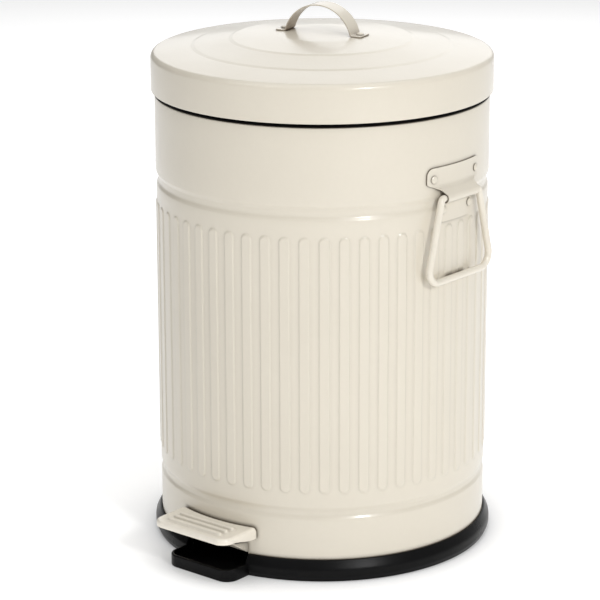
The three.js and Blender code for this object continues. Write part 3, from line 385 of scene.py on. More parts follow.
zinc = dressed(
    "zinc_plate", PLATED,
    {"Tint": (0.60, 0.61, 0.62, 1.0), "Shade": (0.47, 0.48, 0.50, 1.0), "Gloss": 0.32},
    (0.15, 0.0002), {"Metallic": 1.0})


# ------------------------------------------------------------------ outlines
def arc(x, y, radius, start, end, steps=8):
    """Points of an arc, with its angles in degrees."""
    turns = np.radians(np.linspace(start, end, steps + 1))
    return [(x + radius * math.cos(t), y + radius * math.sin(t)) for t in turns]


def rounded(corners, steps=6):
    """A line through (x, y, radius) corners, each turned into an arc of its radius."""
    line = []
    for i, (x, y, radius) in enumerate(corners):
        here = np.array((x, y))
        if radius == 0 or i in (0, len(corners) - 1):
            line.append(tuple(here))
            continue
        back = np.array(corners[i - 1][:2]) - here
        ahead = np.array(corners[i + 1][:2]) - here
        back /= np.linalg.norm(back)
        ahead /= np.linalg.norm(ahead)
        half = math.acos(np.clip(back @ ahead, -1, 1)) / 2
        middle = back + ahead
        centre = here + middle / np.linalg.norm(middle) * radius / math.sin(half)
        first = here + back * radius / math.tan(half) - centre
        last = here + ahead * radius / math.tan(half) - centre
        start = math.atan2(first[1], first[0])
        turn = math.atan2(first[0] * last[1] - first[1] * last[0], first @ last)
        for k in range(steps + 1):
            t = start + turn * k / steps
            line.append((centre[0] + radius * math.cos(t), centre[1] + radius * math.sin(t)))
    return line


def moved_in(line, distance):
    """A line shifted sideways by a distance, to the left of its direction."""
    points = np.array(line)
    ahead = np.gradient(points, axis=0)
    normal = np.stack([-ahead[:, 1], ahead[:, 0]], 1)
    normal /= np.linalg.norm(normal, axis=1)[:, None]
    return [tuple(p) for p in points + normal * distance]


def smooth(value, start, end):
    """Soft step from 0 at start to 1 at end."""
    t = np.clip((np.asarray(value, float) - start) / (end - start), 0, 1)
    return t * t * (3 - 2 * t)


# ------------------------------------------------------------------ meshes
def mesh_of(name, points, faces):
    """A clean mesh from points in millimetres: doubles welded, normals outward."""
    mesh = bpy.data.meshes.new(name)
    mesh.from_pydata((np.asarray(points, float) * MM).tolist(), [], faces)
    work = bmesh.new()
    work.from_mesh(mesh)
    bmesh.ops.remove_doubles(work, verts=work.verts, dist=1e-7)
    bmesh.ops.dissolve_degenerate(work, dist=1e-7, edges=work.edges)
    bmesh.ops.recalc_face_normals(work, faces=work.faces)
    work.to_mesh(mesh)
    work.free()
    return mesh


def object_of(name, mesh):
    item = bpy.data.objects.new(name, mesh)
    bpy.context.scene.collection.objects.link(item)
    return item


def applied(item):
    """Turns an object's modifiers into its mesh."""
    view = bpy.context.evaluated_depsgraph_get()
    mesh = bpy.data.meshes.new_from_object(item.evaluated_get(view))
    item.modifiers.clear()
    item.data = mesh
    return item


def dress(item, body, material, nodes=(), crease=32):
    """Shading, finish and place in the assembly of one piece."""
    item.data.materials.clear()
    item.data.materials.append(material)
    item.data.polygons.foreach_set("use_smooth", [True] * len(item.data.polygons))
    item.data.set_sharp_from_angle(angle=math.radians(crease))
    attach(item, body)
    if nodes:
        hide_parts(*nodes)
    return item


def grid_faces(rows, columns, close_rows, close_columns):
    """Quads of a grid of points, joined round where asked."""
    faces = []
    for i in range(rows if close_rows else rows - 1):
        for j in range(columns if close_columns else columns - 1):
            a, b = i * columns + j, i * columns + (j + 1) % columns
            k = (i + 1) % rows
            faces.append((a, b, k * columns + (j + 1) % columns, k * columns + j))
    return faces


def turned(name, profile, columns=288):
    """A solid of revolution about Z from a closed (radius, z) outline."""
    angle = 2 * math.pi * np.arange(columns) / columns
    line = np.array(profile)
    points = np.empty((len(line), columns, 3))
    points[:, :, 0] = line[:, 0, None] * np.sin(angle)
    points[:, :, 1] = -line[:, 0, None] * np.cos(angle)
    points[:, :, 2] = line[:, 1, None]
    return mesh_of(name, points.reshape(-1, 3), grid_faces(len(line), columns, True, True))


def pulled(name, plan, bottom, top):
    """A plan outline pulled up between two heights."""
    count = len(plan)
    points = [(x, y, z) for z in (bottom, top) for x, y in plan]
    sides = [(i, (i + 1) % count, count + (i + 1) % count, count + i) for i in range(count)]
    return mesh_of(name, points, sides + [tuple(range(count))[::-1], tuple(range(count, 2 * count))])


def block(name, corner, far):
    """A box between two corners."""
    (x0, y0, z0), (x1, y1, z1) = corner, far
    return pulled(name, [(x0, y0), (x1, y0), (x1, y1), (x0, y1)], z0, z1)


def cut_by(item, mesh, operation="DIFFERENCE"):
    """Cuts or joins another mesh, and leaves the result as the object's mesh."""
    other = object_of(item.name + "_tool", mesh)
    step = item.modifiers.new("cut", "BOOLEAN")
    step.operation = operation
    step.solver = "EXACT"
    step.object = other
    applied(item)
    bpy.data.objects.remove(other)
    return item


def wire_mesh(name, corners, bends, radius, sides=20, steps=10):
    """Round wire through corners with rounded bends and slightly rounded ends."""
    line = bent_line([Vector(c) for c in corners], bends, steps)
    last = len(line) - 1
    tangents = [(line[min(i + 1, last)] - line[max(i - 1, 0)]).normalized() for i in range(last + 1)]
    side = tangents[0].orthogonal().normalized()
    rings = []
    for i, (here, ahead) in enumerate(zip(line, tangents)):
        if i:
            side = tangents[i - 1].rotation_difference(ahead) @ side
        up = ahead.cross(side)
        rings.append((here, ahead, side, up, radius))
    for at, sign in ((0, -1), (-1, 1)):
        here, ahead, side, up, _ = rings[at]
        caps = [(here + ahead * sign * radius * 0.18, ahead, side, up, radius * 0.86),
                (here + ahead * sign * radius * 0.24, ahead, side, up, radius * 0.5)]
        rings = caps[::-1] + rings if at == 0 else rings + caps
    turns = [2 * math.pi * k / sides for k in range(sides)]
    points = [here + side * (r * math.cos(t)) + up * (r * math.sin(t))
              for here, _, side, up, r in rings for t in turns]
    count = len(rings)
    faces = grid_faces(count, sides, False, True)
    faces += [tuple(range(sides)), tuple(range((count - 1) * sides, count * sides))[::-1]]
    return mesh_of(name, [tuple(p) for p in points], faces)


def bent_line(corners, bends, steps):
    """Points along straight runs in space whose inner corners are arcs."""
    line = [corners[0]]
    for before, here, after, bend in zip(corners, corners[1:], corners[2:], bends):
        back, ahead = (before - here).normalized(), (after - here).normalized()
        half = back.angle(ahead) / 2
        centre = here + (back + ahead).normalized() * bend / math.sin(half)
        first = (here + back * bend / math.tan(half) - centre).normalized()
        last = (here + ahead * bend / math.tan(half) - centre).normalized()
        line += [centre + first.slerp(last, k / steps) * bend for k in range(steps + 1)]
    return line + [corners[-1]]


# ------------------------------------------------------------------ body shell
def bead_depth(z, edges):
    """How far a rolled groove stands in at a height."""
    into = smooth(z, edges[0], edges[0] + BEAD_FLANK)
    out = smooth(z, edges[1] - BEAD_FLANK, edges[1])
    return BEAD_DEPTH * into * (1 - out)


def wall_radius(z):
    """Outer radius of the wall without its ribs."""
    above = smooth(z, UPPER_BEAD[0], UPPER_BEAD[1])
    return BODY_R - WAIST * (1 - above) - bead_depth(z, UPPER_BEAD) - bead_depth(z, LOWER_BEAD)


def rib_lift(across, z):
    """Height of a rib, whose plan is a strip with round ends."""
    end = np.clip(z, RIB_FOOT + RIB_HALF, RIB_HEAD - RIB_HALF)
    distance = np.hypot(across, z - end) - RIB_HALF
    return RIB_RELIEF * (1 - smooth(distance, -RIB_FLANK / 2, RIB_FLANK / 2))


def body_angles():
    """Angles of the columns, closer together on the ribs' flanks, with each column's offset from its rib."""
    marks = [0.10, 0.195, 0.215, 0.235, 0.255, 0.275, 0.295, 0.32, 0.41]
    shares = [-0.5] + [-m for m in reversed(marks)] + [0.0] + marks
    turns = [(rib + share) / RIBS for rib in range(RIBS) for share in shares]
    offsets = np.array([share for _ in range(RIBS) for share in shares])
    at_back = np.array([rib == RIBS // 2 for rib in range(RIBS) for _ in shares])
    return 2 * math.pi * np.array(turns), offsets * 2 * math.pi * (BODY_R - WAIST) / RIBS, at_back


def body_heights():
    """Heights of the outer rows, closer together where the wall is formed."""
    spans = [(BODY_FOOT, BASE_TOP, 2), (BASE_TOP, LOWER_BEAD[0], 2), (*LOWER_BEAD, 14),
             (LOWER_BEAD[1], RIB_FOOT - 1, 2), (RIB_FOOT - 1, RIB_FOOT + RIB_HALF + 1, 12),
             (RIB_FOOT + RIB_HALF + 1, RIB_HEAD - RIB_HALF - 1, 7),
             (RIB_HEAD - RIB_HALF - 1, RIB_HEAD + 1, 12), (RIB_HEAD + 1, UPPER_BEAD[0], 2), (*UPPER_BEAD, 16),
             (UPPER_BEAD[1], BODY_TOP - 1.4, 4)]
    return np.concatenate([np.linspace(a, b, n, endpoint=False) for a, b, n in spans] + [[BODY_TOP - 1.4]])


def body_shell():
    angle, across, at_back = body_angles()
    outer = [(z, wall_radius(z) + np.where(at_back, 0, rib_lift(across, z))
              + seam_lift(across, at_back, z)) for z in body_heights()]
    top = BODY_TOP
    hem = arc(BODY_R - 1.4, top - 1.4, 1.4, 15, 90, 5) + arc(BODY_R - HEM + 1.2, top - 1.2, 1.2, 90, 200, 6)
    hem += [(BODY_R - HEM, top - HEM + 0.8), (BODY_R - HEM + 0.6, top - HEM),
            (BODY_R - SHEET, top - HEM - 0.4)]
    inner = [z for z in body_heights()[::-1][1:] if min(abs(z - m) for m in (*UPPER_BEAD, *LOWER_BEAD)) < 14]
    rows = outer + [(z, np.full(len(angle), r)) for r, z in hem]
    rows += [(z, np.full(len(angle), wall_radius(z) - SHEET)) for z in [*inner, BODY_FOOT]]
    points = np.empty((len(rows), len(angle), 3))
    for i, (z, radius) in enumerate(rows):
        points[i] = np.stack([radius * np.sin(angle), -radius * np.cos(angle), np.full(len(angle), z)], 1)
    item = object_of("body_wall", mesh_of("body_wall", points.reshape(-1, 3),
                                          grid_faces(len(rows), len(angle), True, True)))
    cut_by(item, block("slot", (-SLOT_HALF, -BODY_R - 9, BODY_FOOT - 1), (SLOT_HALF, -BODY_R / 2, SLOT_TOP)))
    cut_by(item, block("slot_foot", (-SLOT_FOOT_HALF, -BODY_R - 9, BODY_FOOT - 1),
                       (SLOT_FOOT_HALF, -BODY_R / 2, BASE_TOP - 1.5)))
    cut_by(item, block("notch", (-NOTCH_HALF, BODY_R / 2, BODY_TOP - NOTCH_DEPTH),
                       (NOTCH_HALF, BODY_R + 9, BODY_TOP + 9)))
    return dress(item, "root", enamel, ["body_shell"])


def seam_lift(across, at_back, z):
    """The lapped seam up the back, from above the base to under the hinge bracket."""
    gate = smooth(z, BASE_TOP + 1, BASE_TOP + 2) * (1 - smooth(z, BODY_TOP - 39, BODY_TOP - 38))
    return np.where(at_back & (np.abs(across) < SEAM_HALF), SEAM_LIFT * gate, 0)


# ------------------------------------------------------------------ base, rim ring and bucket
def tray_plan(inset, back):
    half, front, corner = TRAY_HALF - inset, TRAY_FRONT + inset, TRAY_CORNER - inset
    left = arc(-half + corner, front + corner, corner, 180, 270, 10)
    right = arc(half - corner, front + corner, corner, 270, 360, 10)
    return left + right + [(half, back), (-half, back)]


def softened_edges(item, width, segments=3, angle=40):
    step = item.modifiers.new("edges", "BEVEL")
    step.width = width * MM
    step.segments = segments
    step.limit_method = "ANGLE"
    step.angle_limit = math.radians(angle)
    step.harden_normals = False
    return applied(item)


def base_pan():
    wall = GROOVE_R
    lip = wall - SHEET - 0.8
    outline = rounded([
        (0.0, 0.0, 0), (BASE_R - 2.2, 0.0, 1.2), (BASE_R, 5.0, 5.0), (BASE_R, 11.0, 8.0),
        (wall + 1.4, BASE_TOP, 0.8), (wall, BASE_TOP, 0.4), (wall, 7.6, 0), (lip, 7.6, 0), (lip, 12.0, 0.6),
        (lip - 2.2, 12.0, 0.6), (lip - 2.6, BASE_FLOOR, 1.5), (0.0, BASE_FLOOR, 0)], 5)
    item = object_of("base_moulding", turned("base_moulding", outline, 240))
    tray = object_of("tray", pulled("tray", tray_plan(0, -BODY_R + 2.7), 0, TRAY_H))
    softened_edges(tray, 1.1, 4, 60)
    cut_by(item, tray.data.copy(), "UNION")
    bpy.data.objects.remove(tray)
    cut_by(item, pulled("recess", tray_plan(TRAY_WALL, -BODY_R + 18), BASE_FLOOR, BASE_TOP + 9))
    for side in (-1, 1):
        cut_by(item, pivot_ear(side), "UNION")
    return dress(item, "root", black_moulding, ["base_pan"])


def pivot_ear(side):
    """One ear for the pedal's pivot pin, standing on the base's floor."""
    place = pivot("pedal_pivot")
    near, thick = EAR_NEAR * side, EAR_T * side
    x0, x1 = sorted((near, near + thick))
    side_view = rounded([(place.y - 8, BASE_FLOOR - 0.5, 0), (place.y + 8, BASE_FLOOR - 0.5, 0),
                         (place.y + 5.5, place.z + 7, 4.0), (place.y - 5.5, place.z + 7, 4.0),
                         (place.y - 8, BASE_FLOOR - 0.5, 0)], 6)[:-1]
    count = len(side_view)
    points = [(x, y, z) for x in (x0, x1) for y, z in side_view]
    faces = [(i, (i + 1) % count, count + (i + 1) % count, count + i) for i in range(count)]
    return mesh_of("ear", points, faces + [tuple(range(count))[::-1], tuple(range(count, 2 * count))])


def rim_ring():
    bottom, top = high("rim_ring").z - 2.6, high("rim_ring").z
    outer = high("rim_ring").x
    skirt = BODY_R - HEM - 0.3
    inner = high("inner_bucket").x - 1.9
    outline = rounded([
        (inner, bottom, 0), (skirt - 2, bottom, 0.5), (skirt - 2, bottom - 11, 0.4),
        (skirt, bottom - 11, 0.4),
        (skirt, bottom, 0.2), (outer, bottom, 0.9), (outer, top, 1.1), (inner, top, 0)], 5)
    item = object_of("rim_ring_moulding", turned("rim_ring_moulding", outline, 288))
    cut_by(item, block("notch", (-NOTCH_HALF, BODY_R / 2, BODY_TOP - 20),
                       (NOTCH_HALF, BODY_R + 9, BODY_TOP + 9)))
    return dress(item, "root", rim_black, ["rim_ring"])


def inner_bucket():
    lo, hi = low("inner_bucket").z, high("inner_bucket").z
    flange = high("inner_bucket").x
    top_r, foot_r, wall = flange - 2.5, flange - 8.5, 1.8
    outline = rounded([
        (0.0, lo + 3.5, 0), (foot_r - 26, lo + 3.5, 3), (foot_r - 30, lo, 3), (foot_r, lo, 9),
        (top_r, hi - 8, 2),
        (top_r, hi - 1.8, 0.6), (flange, hi - 1.8, 0.6), (flange, hi, 0.8), (top_r - wall, hi, 1.0),
        (foot_r - wall, lo + 10, 12), (foot_r - 16, lo + wall + 1, 8), (foot_r - 24, lo + 5.3, 3),
        (0.0, lo + 5.3, 0)], 6)
    item = object_of("bucket_moulding", turned("bucket_moulding", outline, 216))
    return dress(item, "root", bucket_grey, ["inner_bucket"])


def bucket_bail():
    """The bucket's folded bail: a half ring inside its mouth, with its ends through the wall."""
    end, reach, z = high("bucket_bail").x, -low("bucket_bail").y - 1.5, pivot_height("bucket_bail")
    bend = 3.0
    corners = [(-end, 0, z), (-reach, 0, z), (-reach, -reach, z),
               (reach, -reach, z), (reach, 0, z), (end, 0, z)]
    mesh = wire_mesh("bucket_bail_wire", corners, [bend, reach - bend, reach - bend, bend], 1.3, 14, 24)
    return dress(object_of("bucket_bail_wire", mesh), "root", zinc, ["bucket_bail"])


def pivot_height(node):
    return (low(node).z + high(node).z) / 2


# ------------------------------------------------------------------ lid
def lid_line():
    """Outside of the lid from the skirt's lower edge to the axis, with two soft steps in its crown."""
    steps = [(radius, LID_SHOULDER + rise, LID_STEP_BEND) for radius, rise in LID_STEPS]
    return rounded([
        (LID_R - 1.1, LID_FOOT, 0), (LID_R, LID_FOOT + 0.2, 0.9), (LID_R, LID_SHOULDER + 0.1, LID_CORNER),
        *steps, (40.0, CROWN - 0.1, 60.0), (0.0, CROWN + 0.6, 0)], 7)


def lid_shell():
    outside = lid_line()
    inside = moved_in(outside, SHEET)[::-1]
    inside[0] = (0.0, outside[-1][1] - SHEET)
    item = object_of("lid_dome", turned("lid_dome", outside + inside, 288))
    return dress(item, "lid", enamel, ["lid_shell"])


def strap_line():
    """Middle line of the handle strap: foot, arch, foot."""
    half = STRAP_SPAN / 2
    outer = (half ** 2 + STRAP_RISE ** 2) / (2 * STRAP_RISE)
    middle = outer - STRAP_T / 2
    centre = STRAP_T + STRAP_RISE - outer
    start = math.degrees(math.asin((STRAP_T / 2 - centre) / middle))
    arch = [(x, z, 0) for x, z in arc(0, centre, middle, 180 - start, start, 40)]
    arch[0], arch[-1] = (*arch[0][:2], 1.6), (*arch[-1][:2], 1.6)
    end = half + STRAP_FOOT - 0.01
    return rounded([(-end, STRAP_T / 2, 0), *arch, (end, STRAP_T / 2, 0)], 6)


def lid_strap():
    line = np.array(strap_line())
    ends = [0.35, 0.8, 1.5, 3.0]
    near = [line[0] + np.array((e, 0)) for e in ends]
    far = [line[-1] - np.array((e, 0)) for e in ends[::-1]]
    line = np.concatenate([line[:1], near, line[1:-1], far, line[-1:]])
    along = np.minimum(np.abs(line[:, 0] - line[0, 0]), np.abs(line[-1, 0] - line[:, 0]))
    corner = 1.6
    pinch = corner - np.sqrt(np.maximum(corner ** 2 - np.maximum(corner - along, 0) ** 2, 0))
    across = np.linspace(-1, 1, 13)
    points = np.empty((len(line), len(across), 3))
    points[:, :, 0] = line[:, 0, None]
    points[:, :, 1] = (STRAP_W / 2 - pinch)[:, None] * across
    points[:, :, 2] = line[:, 1, None]
    item = object_of("lid_strap_band", mesh_of("lid_strap_band", points.reshape(-1, 3),
                                               grid_faces(*points.shape[:2], False, False)))
    thicken(item, STRAP_T, 0.0, 0.3)
    turn = Matrix.Translation((0, 0, low("lid_strap").z * MM)) @ Matrix.Rotation(STRAP_TURN, 4, "Z")
    item.data.transform(turn)
    return dress(item, "lid", strap_enamel, ["lid_strap"], 40)


def thicken(item, thickness, offset, edge):
    """Gives a sheet its thickness and rounds its cut edges."""
    step = item.modifiers.new("sheet", "SOLIDIFY")
    step.thickness = thickness * MM
    step.offset = offset
    step.use_even_offset = True
    applied(item)
    return softened_edges(item, edge, 3, 55)


# ------------------------------------------------------------------ side brackets and bails
def bracket_rows():
    """Section of the bracket from its top down as (x, z, part), and the height where it flares."""
    x0, z0 = BAIL_AXIS.x, BAIL_AXIS.z
    face = BODY_R + PLATE_OUT
    lean = math.radians(50)
    tangent = (x0 + ROLL_R * math.cos(lean), z0 + ROLL_R * math.sin(lean))
    flare_top = tangent[1] + (tangent[0] - face) / math.tan(lean)
    plate = [(face, z) for z in PLATE_TOP - PLATE_CORNER * (1 - np.cos(np.linspace(0, math.pi / 2, 9)))]
    plate += [(face, z) for z in PLATE_ROWS]
    flare = rounded([(face, FLARE_START, 0), (face, flare_top, 5.0), (*tangent, 0)], 8)
    roll = arc(x0, z0, ROLL_R, 50, -82, 16)[1:]
    under = rounded([(x0, z0 - ROLL_R, 0), (face, z0 - ROLL_R, 1.2), (face, z0 - ROLL_R - 3, 0)], 6)
    tab = [(face, z) for z in np.linspace(z0 - ROLL_R - 5, PLATE_FOOT + TAB_CORNER, 4)]
    tab += [(face, z) for z in PLATE_FOOT + TAB_CORNER * (1 - np.sin(np.linspace(0, math.pi / 2, 7)[1:]))]
    rows = []
    for part, line in (("plate", plate), ("flare", flare), ("roll", roll), ("under", under), ("tab", tab)):
        rows += [(x, z, part) for x, z in line]
    return rows, flare_top


def half_width(z, flare_top, part):
    """Half width of the bracket at a height, with rounded corners and a drawn-in shoulder."""
    if part in ("tab", "under"):
        rise = min(z - PLATE_FOOT, TAB_CORNER)
        return TAB_HALF - TAB_CORNER + math.sqrt(max(TAB_CORNER ** 2 - (TAB_CORNER - rise) ** 2, 0))
    drop = min(PLATE_TOP - z, PLATE_CORNER)
    wide = PLATE_HALF - PLATE_CORNER + math.sqrt(max(PLATE_CORNER ** 2 - (PLATE_CORNER - drop) ** 2, 0))
    return wide + (TAB_HALF - PLATE_HALF) * float(1 - smooth(z, flare_top - 2.6, flare_top + 4.2))


def side_bracket(name, node, turn):
    rows, flare_top = bracket_rows()
    face = BODY_R + PLATE_OUT
    across = np.sin(np.linspace(-math.pi / 2, math.pi / 2, 49))
    points = np.empty((len(rows), len(across), 3))
    for i, (x, z, part) in enumerate(rows):
        y = half_width(z, flare_top, part) * across
        straight = float(smooth(x - face, 0.0, 2.6))
        curved = np.sqrt(face ** 2 - y ** 2) + (x - face)
        points[i] = np.stack([straight * x + (1 - straight) * curved, y, np.full(len(y), z)], 1)
    item = object_of(name, mesh_of(name, points.reshape(-1, 3), grid_faces(*points.shape[:2], False, False)))
    outward = item.data.polygons[20].normal.x > 0
    thicken(item, PLATE_T, -1.0 if outward else 1.0, 0.28)
    item.data.transform(Matrix.Rotation(turn, 4, "Z"))
    return dress(item, "root", enamel, [node], 45)


def side_bail(name, node, body, turn):
    """Wire bail hanging from the roll, its two ends meeting inside it."""
    x, z = BAIL_AXIS.x, BAIL_AXIS.z
    foot = z - BAIL_LENGTH
    corners = [(x, -1, z), (x, -BAIL_TOP_HALF, z), (x, -BAIL_LOW_HALF, foot), (x, BAIL_LOW_HALF, foot),
               (x, BAIL_TOP_HALF, z), (x, 1, z)]
    item = object_of(name, wire_mesh(name, corners, [4, 12, 12, 4], BAIL_WIRE, 24, 14))
    item.data.transform(Matrix.Rotation(turn, 4, "Z"))
    return dress(item, body, wire_enamel, [node])


def rivet(node, body, axis):
    """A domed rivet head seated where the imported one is."""
    centre = (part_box(node)[0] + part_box(node)[1]) / 2 / MM
    tip = max(v.co.dot(axis) for v in frame["nodes"][node].data.vertices) / MM
    seat = centre + axis * (tip - RIVET_H - centre.dot(axis))
    dome = [(RIVET_R * math.cos(t), RIVET_H * math.sin(t) ** 0.9) for t in np.linspace(0.12, math.pi / 2, 9)]
    outline = [(0.0, -RIVET_SHANK), (RIVET_SHANK_R, -RIVET_SHANK), (RIVET_SHANK_R, 0.0), (RIVET_R - 0.1, 0.0),
               (RIVET_R, 0.12), *dome[1:-1], (0.0, RIVET_H)]
    item = object_of(node + "_head", turned(node, outline, 32))
    item.data.transform(Matrix.Translation(seat * MM) @ axis.to_track_quat("Z", "Y").to_matrix().to_4x4())
    return dress(item, body, enamel, [node], 50)


def all_rivets():
    for node in frame["nodes"]:
        centre = (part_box(node)[0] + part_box(node)[1]) / 2
        if node.startswith("strap_rivet"):
            rivet(node, "lid", Vector((0, 0, 1)))
        elif "rivet" in node:
            rivet(node, "root", Vector((centre.x, centre.y, 0)).normalized())


# ------------------------------------------------------------------ pedal
def pad_outline():
    """Plan of the pad, anticlockwise from its rear left corner, with its rear edge following the wall."""
    rear = math.sqrt(PAD_REAR_R ** 2 - PAD_HALF ** 2)
    front = rounded([(-PAD_HALF, -rear, 0), (-PAD_HALF, PAD_FRONT, PAD_CORNER),
                     (PAD_HALF, PAD_FRONT, PAD_CORNER), (PAD_HALF, -rear, 0)], 24)
    limit = math.degrees(math.asin(PAD_HALF / PAD_REAR_R))
    wall = arc(0, 0, PAD_REAR_R, -90 + limit, -90 - limit, 60)[1:-1]
    dense = []
    for (xa, ya), (xb, yb) in zip(front, front[1:]):
        count = max(1, int(math.hypot(xb - xa, yb - ya) / 1.2))
        dense += [(xa + (xb - xa) * k / count, ya + (yb - ya) * k / count) for k in range(count)]
    return dense + [front[-1]] + wall


def pad_height(x, y):
    """Height of the pad's upper face: rolled edges and the pressed ridges."""
    qx = np.abs(x) - (PAD_HALF - PAD_CORNER)
    qy = (PAD_FRONT + PAD_CORNER) - y
    outside = np.hypot(np.maximum(qx, 0), np.maximum(qy, 0)) + np.minimum(np.maximum(qx, qy), 0)
    edge = np.clip(PAD_CORNER - outside, 0, PAD_ROLL)
    rear = np.clip(np.hypot(x, y) - PAD_REAR_R, 0, 0.8)
    roll = PAD_ROLL - np.sqrt(np.maximum(PAD_ROLL ** 2 - (PAD_ROLL - edge) ** 2, 0))
    roll += 0.8 - np.sqrt(np.maximum(0.64 - (0.8 - rear) ** 2, 0))
    lift = np.zeros_like(x)
    for i in range(RIDGES):
        ahead = y - (PAD_FRONT + RIDGE_FRONT + i * RIDGE_PITCH)
        beside = np.maximum(np.abs(x) - RIDGE_HALF + 2.0, 0)
        distance = np.hypot(ahead, beside)
        lift = np.maximum(lift, RIDGE_LIFT * (1 - smooth(distance, 0.9, RIDGE_PITCH / 2 - 0.6)))
    return PAD_TOP - roll + lift * (edge >= PAD_ROLL * 0.5)


def pedal_pad():
    border = pad_outline()
    inner = [(x, y) for y in np.arange(PAD_FRONT + 0.5, -PAD_REAR_R + 12, 0.55)
             for x in np.arange(-PAD_HALF + 0.5, PAD_HALF, 0.75)]
    x, y = np.array(inner).T
    qx, qy = np.abs(x) - (PAD_HALF - PAD_CORNER), (PAD_FRONT + PAD_CORNER) - y
    outside = np.hypot(np.maximum(qx, 0), np.maximum(qy, 0)) + np.minimum(np.maximum(qx, qy), 0)
    keep = (PAD_CORNER - outside > 0.3) & (np.hypot(x, y) - PAD_REAR_R > 0.25)
    plan = [Vector(p) for p in border] + [Vector(p) for p, k in zip(inner, keep) if k]
    edges = [(i, (i + 1) % len(border)) for i in range(len(border))]
    flat, _, faces, *_ = delaunay_2d_cdt(plan, edges, [], 1, 1e-5)
    flat = np.array([tuple(p) for p in flat])
    heights = pad_height(flat[:, 0], flat[:, 1])
    points = [tuple(p) for p in np.column_stack([flat, heights])]
    faces = [tuple(f) for f in faces]
    count = len(border)
    for step in (0.5, 1.0):
        for px, py in flat[:count]:
            forward = float(smooth(-py, BODY_R - 2, -PAD_FRONT - 10))
            drop = PAD_SKIRT_REAR + (PAD_SKIRT - PAD_SKIRT_REAR) * forward
            top = PAD_TOP - PAD_ROLL
            is_rear = math.hypot(px, py) < PAD_REAR_R + 0.02 and abs(px) < PAD_HALF - 0.01
            foot = PAD_TOP - (PAD_ROLL + 1.4 if is_rear else drop)
            points.append((px, py, top + (foot - top) * step))
    total = len(flat)
    for ring, base in ((0, None), (1, total)):
        for i in range(count):
            j = (i + 1) % count
            a, b = (i, j) if base is None else (base + i, base + j)
            faces.append((b, a, total + ring * count + i, total + ring * count + j))
    item = object_of("pedal_pad_pressing", mesh_of("pedal_pad_pressing", points, faces))
    up = sum(p.normal.z * p.area for p in item.data.polygons) > 0
    thicken(item, PAD_T, -1.0 if up else 1.0, 0.25)
    return dress(item, "pedal", pad_enamel, ["pedal_pad"], 50)


def push_rod():
    """The rod behind the bucket, from its upper hook in the lid's arm to its foot in the lever."""
    foot = high("push_rod").x
    y, z = CRANK.y, CRANK.z
    low_y = y - ROD_JOG
    corners = [(11.6, y, z), (0, y, z), (0, y, 54), (0, low_y, ROD_FOOT_Z + 16), (0, low_y, ROD_FOOT_Z),
               (foot, low_y, ROD_FOOT_Z)]
    mesh = wire_mesh("push_rod_wire", corners, [3.5, 12, 12, 3.5], ROD_R * 0.96, 16, 10)
    return dress(object_of("push_rod_wire", mesh), "rod", zinc, ["push_rod"])


def pressed_part(node, body, material, edge):
    """A stamped or turned part as packed, with its cut edges rounded."""
    source = frame["nodes"][node]
    item = object_of(node + "_part", source.data.copy())
    work = bmesh.new()
    work.from_mesh(item.data)
    bmesh.ops.remove_doubles(work, verts=work.verts, dist=1e-6)
    bmesh.ops.dissolve_limit(work, angle_limit=math.radians(1), verts=work.verts, edges=work.edges)
    work.to_mesh(item.data)
    work.free()
    softened_edges(item, edge, 2, 30)
    return dress(item, body, material, [node], 30)


def linkage():
    for node, body, slot, material, edge in (
            ("hinge_bracket", "root", "cream_enamel", enamel, 0.2),
            ("hinge_pin", "root", "zinc_plate", zinc, 0.3),
            ("pedal_pivot_pin", "root", "zinc_plate", zinc, 0.3),
            ("lid_arm", "lid", "zinc_plate", zinc, 0.2),
            ("rod_clip", "lid", "zinc_plate", zinc, 0.2),
            ("pedal_lever", "pedal", "cream_enamel", lever_enamel, 0.3)):
        pressed_part(node, body, material, edge)


# ------------------------------------------------------------------ studio
CAMERA_PLACE = Vector((1.4660, -1.7911, 0.8995))
CAMERA_AZIMUTH = math.radians(39.3)
CAMERA_PITCH = 0.29008
CAMERA_YAW = -0.00856
CAMERA_ROLL = -0.00274
SENSOR = 36.0
FOCAL_SHARE = 2710.3 / 600.0  # focal length over the frame's width
LIGHTS = (  # name, azimuth and elevation in degrees, distance, (width, height), watts
    ("overhead", 40, 86, 2.2, (2.2, 2.2), 15),
    ("front_top", -8, 48, 2.3, (1.5, 0.24), 6),
    ("key", 68, 26, 2.4, (0.26, 0.26), 18.5),
    ("rear", -145, 27.5, 2.4, (1.8, 1.7), 11))
SURROUNDINGS = 0.51
DIMMER = 0.80
DIM_AZIMUTH = -70
PAPER_SHADE_REACH = 0.12  # how far from the base the floor's contact shade reaches
PAPER_GLOW = (0.24, 0.34)  # in the contact shade, and clear of it
# the floor's white in the painted contact shadow, and clear of it
PAPER_WHITE = (0.55, 0.93)


def look_from():
    """The camera's forward and right directions in the frame's axes."""
    turn = Matrix.Rotation(CAMERA_AZIMUTH, 3, "Z")
    flat = math.cos(CAMERA_PITCH)
    ahead = Vector((math.sin(CAMERA_YAW) * flat, math.cos(CAMERA_YAW) * flat, -math.sin(CAMERA_PITCH)))
    level = Vector((math.cos(CAMERA_YAW), -math.sin(CAMERA_YAW), 0))
    up = level.cross(ahead)
    right = level * math.cos(CAMERA_ROLL) + up * math.sin(CAMERA_ROLL)
    return turn @ ahead, turn @ right


def camera():
    data = bpy.data.cameras.new("camera")
    data.sensor_width = SENSOR
    data.lens = SENSOR * FOCAL_SHARE
    item = bpy.data.objects.new("camera", data)
    bpy.context.scene.collection.objects.link(item)
    ahead, right = look_from()
    up = right.cross(ahead)
    item.matrix_world = Matrix.Translation(CAMERA_PLACE) @ Matrix((right, up, -ahead)).transposed().to_4x4()
    bpy.context.scene.camera = item


